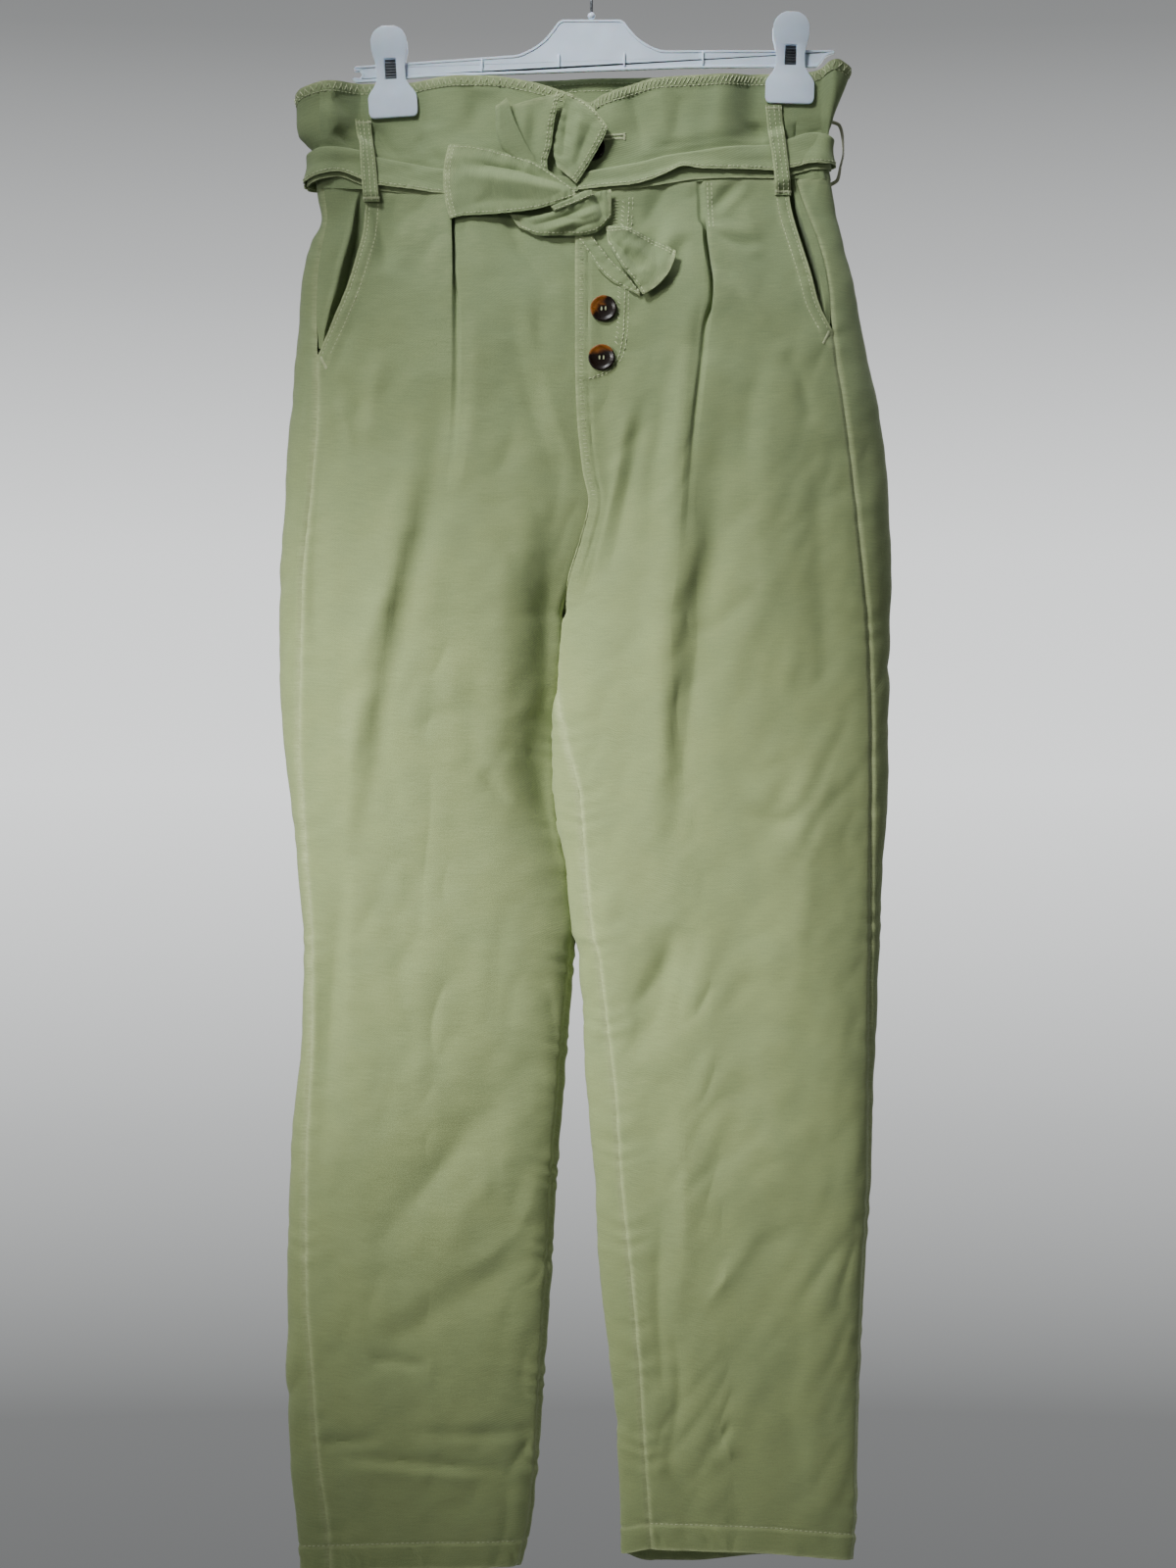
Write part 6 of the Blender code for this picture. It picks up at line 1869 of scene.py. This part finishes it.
class TROUSERS_OT_buttons(bpy.types.Operator):
    """Makes the mottled buttons, dished, with two slots and the thread that holds them"""

    bl_idname = "trousers.buttons"
    bl_label = "Buttons"

    def execute(self, context):
        for name, (x, drop) in BUTTONS.items():
            centre, normal = front_face(np.array([x]), np.array([drop]))
            self.make(name, centre[0], normal[0])
        return {"FINISHED"}

    def make(self, name, centre, normal):
        turn = mathutils.Vector(normal).to_track_quat("Z", "Y").to_euler()
        base = mathutils.Vector((centre + BUTTON_LIFT * normal) * MM)
        thick, radius = BUTTON_THICKNESS * MM, BUTTON_RADIUS * MM
        disc = begin("cylinder", vertices=64, radius=radius, depth=thick)
        dish(disc, lambda normal: normal.z > 0.9, *BUTTON_DISH)
        bevel(disc, 0.0006, 3, 50)
        for aside in (-SLOT_ASIDE, SLOT_ASIDE):
            slot = begin(
                "cylinder", vertices=24, radius=SLOT_RADIUS, depth=3 * thick, location=(aside, 0, 0)
            )
            slot.scale = (1.0, 2.0, 1.0)
            cut_out(disc, slot)
        disc.rotation_euler = turn
        disc.location = base + turn.to_matrix() @ mathutils.Vector((0, 0, thick / 2))
        place = mathutils.Matrix.Translation(disc.location) @ turn.to_matrix().to_4x4()
        button = settle(disc, f"{name}_resin", mottled_resin())
        amber = button.data.attributes.new("amber", "FLOAT", "POINT")
        towards = mathutils.Vector(AMBER_SIDE[name]).normalized()
        for value, vertex in zip(amber.data, button.data.vertices):
            value.value = min(max(1.9 * (vertex.co - base).dot(towards) / radius - 0.25, 0.0), 1.0)
        finished(button, "button", name)
        lie = {"vertices": 8, "depth": 0.0025, "rotation": (math.radians(90), 0, 0)}
        strands = [
            begin("cylinder", radius=STRAND_RADIUS, location=(x, 0, thick * 0.5 - 0.0014), **lie)
            for aside in (-1, 1)
            for x in (aside * SLOT_ASIDE - STRAND_ASIDE, aside * SLOT_ASIDE + STRAND_ASIDE)
        ]
        bundle = join(strands)
        bake_place()
        bevel(bundle, 0.0002, 2)
        bundle.matrix_basis = place
        finished(settle(bundle, f"{name}_thread", thread()), "cloth")


# ---------- hanger
HUMP_HALF = 0.062  # the hump's corners lie inside this X and above this Z
HUMP_FOOT = -0.097
RIBS = ((-73.0, 99.2), (79.0, 94.2), (-20.0, 96.0), (25.0, 95.0))  # X and drop
RIB_SIZE = (0.0013, 0.0062, 0.009)


class TROUSERS_OT_hanger_body(bpy.types.Operator):
    """Makes the moulded hanger bar with raised rims along its edges"""

    bl_idname = "trousers.hanger_body"
    bl_label = "Hanger body"

    def execute(self, context):
        body = bpy.data.objects.new("hanger_body_moulded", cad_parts["hanger_body"].data.copy())
        bpy.context.collection.objects.link(body)
        choose(body)
        bpy.ops.object.mode_set(mode="EDIT")
        self.clean(0.00005, 1.5)
        # The shoulders of the hump are rounded. Their corners are the edges that run front to back.
        pick(
            body, "EDGE",
            lambda edge: self.is_corner(*(body.data.vertices[k].co for k in edge.vertices))
        )
        bpy.ops.mesh.bevel(offset=0.004, segments=4, affect="EDGES", clamp_overlap=True)
        self.clean(0.0003, 0.5)
        bpy.ops.object.mode_set(mode="OBJECT")
        for way in (-1, 1):
            rim = ((0.0014, 0), (0.0004, -0.0006))
            dish(body, lambda normal: normal.y * way > 0.9, *rim, use_even_offset=False)
        bevel(body, context.scene.trouser_sizes.body_bevel, 3, 40)
        body = settle(body, "hanger_body_moulded", moulded_plastic())
        for face in body.data.polygons:
            if abs(face.normal.y) > 0.99:
                face.use_smooth = False
        finished(body, "hanger", "hanger_body")
        ribs = []
        for x, drop in RIBS:
            ribs.append(begin("cube", size=1.0, location=(x * MM, 0, -drop * MM), scale=RIB_SIZE))
            bpy.ops.object.transform_apply(scale=True)
            bevel(ribs[-1], 0.0004, 2)
        finished(settle(join(ribs), "hanger_ribs", moulded_plastic()), "hanger")
        return {"FINISHED"}

    def clean(self, gap, degrees):
        bpy.ops.mesh.select_all(action="SELECT")
        bpy.ops.mesh.remove_doubles(threshold=gap)
        bpy.ops.mesh.dissolve_limited(angle_limit=math.radians(degrees))

    def is_corner(self, here, there):
        return abs(here.y - there.y) > 0.004 and abs(here.x) < HUMP_HALF and here.z > HUMP_FOOT


class TROUSERS_OT_hook_and_ball(bpy.types.Operator):
    """Gives the wire hook its steel and makes the ball where it enters the bar"""

    bl_idname = "trousers.hook_and_ball"
    bl_label = "Hook and ball"

    def execute(self, context):
        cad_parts["hanger_hook"].material_slots[0].material = drawn_steel()
        low, high = (mathutils.Vector(corner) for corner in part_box("hanger_ball"))
        size = {"radius": (high.z - low.z) / 2, "location": (low + high) / 2}
        ball = begin("uv_sphere", segments=40, ring_count=20, **size)
        pick(ball, "FACE", lambda face: face.normal.z > 0.93)
        bpy.ops.mesh.inset(thickness=0.0002)
        bpy.ops.mesh.extrude_region_move(TRANSFORM_OT_translate={"value": (0, 0, 0.0005)})
        finished(settle(ball, "hanger_ball_moulded", moulded_plastic()), "hanger", "hanger_ball")
        return {"FINISHED"}


# ---------- clips
WINDOW_Y = -8.0  # middle of the tool that cuts the window, which is 30 mm deep
SPRING_TURNS = 7
TURN_RADIUS = 0.00092


def clip_frame(side):
    """Function that places a clip's own (across, along, y) sizes."""
    top_x, top_drop, lean = CLIPS[side]
    turn = math.radians(lean)

    def place(sideways, along, y):
        x = top_x + sideways * math.cos(turn) + along * math.sin(turn)
        drop = top_drop + along * math.cos(turn) - sideways * math.sin(turn)
        return mathutils.Vector((x, y, -drop)) * MM

    return place


class TROUSERS_OT_clips(bpy.types.Operator):
    """Makes both clips: waisted jaws with a window, and the steel spring that shows in it"""

    bl_idname = "trousers.clips"
    bl_label = "Clips"

    def execute(self, context):
        grip = CLIP_HALF_CLOTH + SEAM_GAP
        for side in SIDES:
            place, lean = clip_frame(side), math.radians(CLIPS[side][2])
            for way, word in ((-1, "front"), (1, "back")):
                jaw = self.jaw(place, lean, way, grip)
                if way < 0:
                    self.window(jaw, place, lean)
                bevel(jaw, context.scene.trouser_sizes.jaw_bevel, 3, 38)
                made = settle(jaw, f"clip_jaw_{word}_{side}", moulded_plastic())
                finished(made, "hanger", f"clip_{word}_{side}")
            finished(self.spring(place, side, grip), "steel", f"clip_spring_{side}")
        return {"FINISHED"}

    def jaw(self, place, lean, way, grip):
        """Extrudes the jaw row by row from its top edge, widening and narrowing it as it goes."""
        along = np.concatenate([np.arange(0, 6, 1.0), np.arange(6, 60, 2.0), np.arange(60, 62.1, 0.5)])
        halves = curve(JAW, "half_width", along, "along")
        middles = way * (grip + curve(JAW, "forward", along, "along") + JAW_WALL / 2)
        jaw = begin("plane", size=1.0, location=place(0, along[0], middles[0]), rotation=(0, -lean, 0))
        jaw.scale = (2 * halves[0] * MM, JAW_WALL * MM, 1.0)
        bake_place()
        bpy.ops.object.mode_set(mode="EDIT")
        bpy.ops.mesh.select_all(action="SELECT")
        for k in range(1, len(along)):
            here, there = place(0, along[k - 1], middles[k - 1]), place(0, along[k], middles[k])
            bpy.ops.mesh.extrude_region_move(TRANSFORM_OT_translate={"value": there - here})
            ratio = halves[k] / halves[k - 1]
            bpy.ops.transform.resize(value=(ratio, 1.0, ratio), center_override=there)
        bpy.ops.mesh.select_all(action="SELECT")
        bpy.ops.mesh.normals_make_consistent(inside=False)
        bpy.ops.object.mode_set(mode="OBJECT")
        return jaw

    def window(self, jaw, place, lean):
        low, high = WINDOW_ALONG
        middle = place(0, 0.5 * (low + high), WINDOW_Y)
        cutter = begin("cube", size=1.0, location=middle, rotation=(0, -lean, 0))
        cutter.scale = (2 * WINDOW_HALF * MM, 0.03, (high - low) * MM)
        cut_out(jaw, cutter)

    def spring(self, place, side, grip):
        """Row of steel turns, seen from the side through the window."""
        low, high = WINDOW_ALONG
        lay = (0, math.radians(90 - CLIPS[side][2]), math.radians(2))
        size = {"vertices": 16, "radius": TURN_RADIUS, "depth": 2 * (WINDOW_HALF - 0.35) * MM}
        turns = [
            begin(
                "cylinder", location=place(0, along, -(grip + 1.0)), rotation=lay, **size
            ) for along in np.linspace(low + 1.2, high - 1.2, SPRING_TURNS)
        ]
        return settle(join(turns), f"clip_spring_{side}_coil", drawn_steel())


# ---------- stage
FLOOR_Z = -1.66
CAMERA_PLACE = (0.0, -2.2, -0.5935)
CAMERA_LENS = 73.33
LIGHTS = (
    # name, place, point aimed at, size, power, spread in degrees and colour
    ("key", (-0.85, -0.9, -0.15), (0.05, 0, -0.7), 0.3, 1.98, 40, (1.0, 0.99, 0.95)),
    ("top_fill", (-0.4, -0.6, 0.45), (0.02, 0, -0.13), 0.25, 0.5, 32, (0.97, 0.99, 1.0)),
    ("floor_wash", (0, 0.4, 0.9), (0, 0.41, -1.2), 2.2, 9.0, 50, (0.99, 1.0, 1.0)),
    ("back", (0.6, 1.8, 0.3), (0, 0, -0.5), 1.2, 6.0, 120, (1.0, 1.0, 1.0))
)
AIR = (
    # share of the height, brightness
    (0.0, 0.2), (0.2, 0.16), (0.27, 0.12), (0.34, 0.16), (0.41, 0.46), (0.5, 0.95), (0.56, 0.88),
    (0.63, 0.46), (0.69, 0.21), (0.76, 0.12), (0.84, 0.06), (1.0, 0.05)
)


class TROUSERS_OT_stage(bpy.types.Operator):
    """Makes the floor, the soft lights and the camera"""

    bl_idname = "trousers.stage"
    bl_label = "Stage"

    def execute(self, context):
        scene = context.scene
        floor = begin("circle", vertices=128, radius=2.1, fill_type="NGON", location=(0, 0, FLOOR_Z))
        settle(floor, "stage_floor", painted_floor())
        scene.world = self.world()
        lights = [self.light(scene, *settings) for settings in LIGHTS]
        lens = bpy.data.cameras.new("camera")
        lens.lens = CAMERA_LENS
        lens.sensor_width = 36.0
        camera = bpy.data.objects.new("camera", lens)
        camera.location = CAMERA_PLACE
        camera.rotation_euler = (math.radians(90), 0, 0)
        scene.collection.objects.link(camera)
        scene.camera = camera
        return {"FINISHED"}

    def world(self):
        """Pale studio air, brightest level with the middle of the garment."""
        world = bpy.data.worlds.new("pale_studio")
        world.use_nodes = True
        nodes = Nodes(world.node_tree, "Background")
        up = nodes.add("SeparateXYZ", "Z", {"Vector": nodes.place("Generated")})
        air = nodes.add("ValToRGB", "Color", {"Fac": nodes.ranged(up, -0.6, 0.6)})
        elements = air.node.color_ramp.elements
        while len(elements) < len(AIR):
            elements.new(0.5)
        for element, (share, shade) in zip(elements, AIR):
            element.position = share
            element.color = (0.98 * shade, shade, 1.01 * shade, 1.0)
        # The room is dim in front of the garment, so that folds keep their shadows.
        back = nodes.add("SeparateXYZ", "Y", {"Vector": nodes.place("Generated")})
        nodes.finish(Color=air, Strength=nodes.ranged(back, -0.5, 0.3, 0.38, 1.4))
        return world

    def light(self, scene, name, place, aim, size, power, spread, tint):
        lamp = bpy.data.lights.new(name, "AREA")
        lamp.size, lamp.energy, lamp.color = size, power, tint
        lamp.spread = math.radians(spread)
        made = bpy.data.objects.new(name, lamp)
        made.location = place
        toward = mathutils.Vector(aim) - mathutils.Vector(place)
        made.rotation_euler = toward.to_track_quat("-Z", "Y").to_euler()
        made.visible_camera = False
        scene.collection.objects.link(made)
        return made


# ---------- panel and registration
STEPS = (
    # operators in the order in which they are run
    TROUSERS_OT_clips, TROUSERS_OT_hook_and_ball, TROUSERS_OT_hanger_body, TROUSERS_OT_waistband,
    TROUSERS_OT_leg_panels, TROUSERS_OT_pocket_facings, TROUSERS_OT_fly_underlap, TROUSERS_OT_tie_belt,
    TROUSERS_OT_bow, TROUSERS_OT_belt_loops, TROUSERS_OT_hanging_tape, TROUSERS_OT_buttons,
    TROUSERS_OT_stage
)


class TROUSERS_PT_sidebar(bpy.types.Panel):
    """Lists the sizes, the colours and the operators"""

    bl_label = "Paperbag waist trousers"
    bl_idname = "TROUSERS_PT_sidebar"
    bl_space_type = "VIEW_3D"
    bl_region_type = "UI"
    bl_category = "Trousers"

    def draw(self, context):
        layout = self.layout
        for group in (context.scene.trouser_sizes, context.scene.trouser_colours):
            box = layout.box()
            for name in group.bl_rna.properties.keys():
                if name not in ("rna_type", "name"):
                    box.prop(group, name)
        for step in STEPS:
            layout.operator(step.bl_idname)


CLASSES = (TrouserSizes, TrouserColours) + STEPS + (TROUSERS_PT_sidebar,)


def register():
    for item in CLASSES:
        bpy.utils.register_class(item)
    bpy.types.Scene.trouser_sizes = bpy.props.PointerProperty(type=TrouserSizes)
    bpy.types.Scene.trouser_colours = bpy.props.PointerProperty(type=TrouserColours)


def unregister():
    del bpy.types.Scene.trouser_colours
    del bpy.types.Scene.trouser_sizes
    for item in reversed(CLASSES):
        bpy.utils.unregister_class(item)


def main():
    register()
    for step in STEPS:
        group, name = step.bl_idname.split(".")
        result = getattr(getattr(bpy.ops, group), name)()
        if result != {"FINISHED"}:
            raise RuntimeError(f"{step.bl_label} did not finish")


if __name__ == "__main__":
    main()
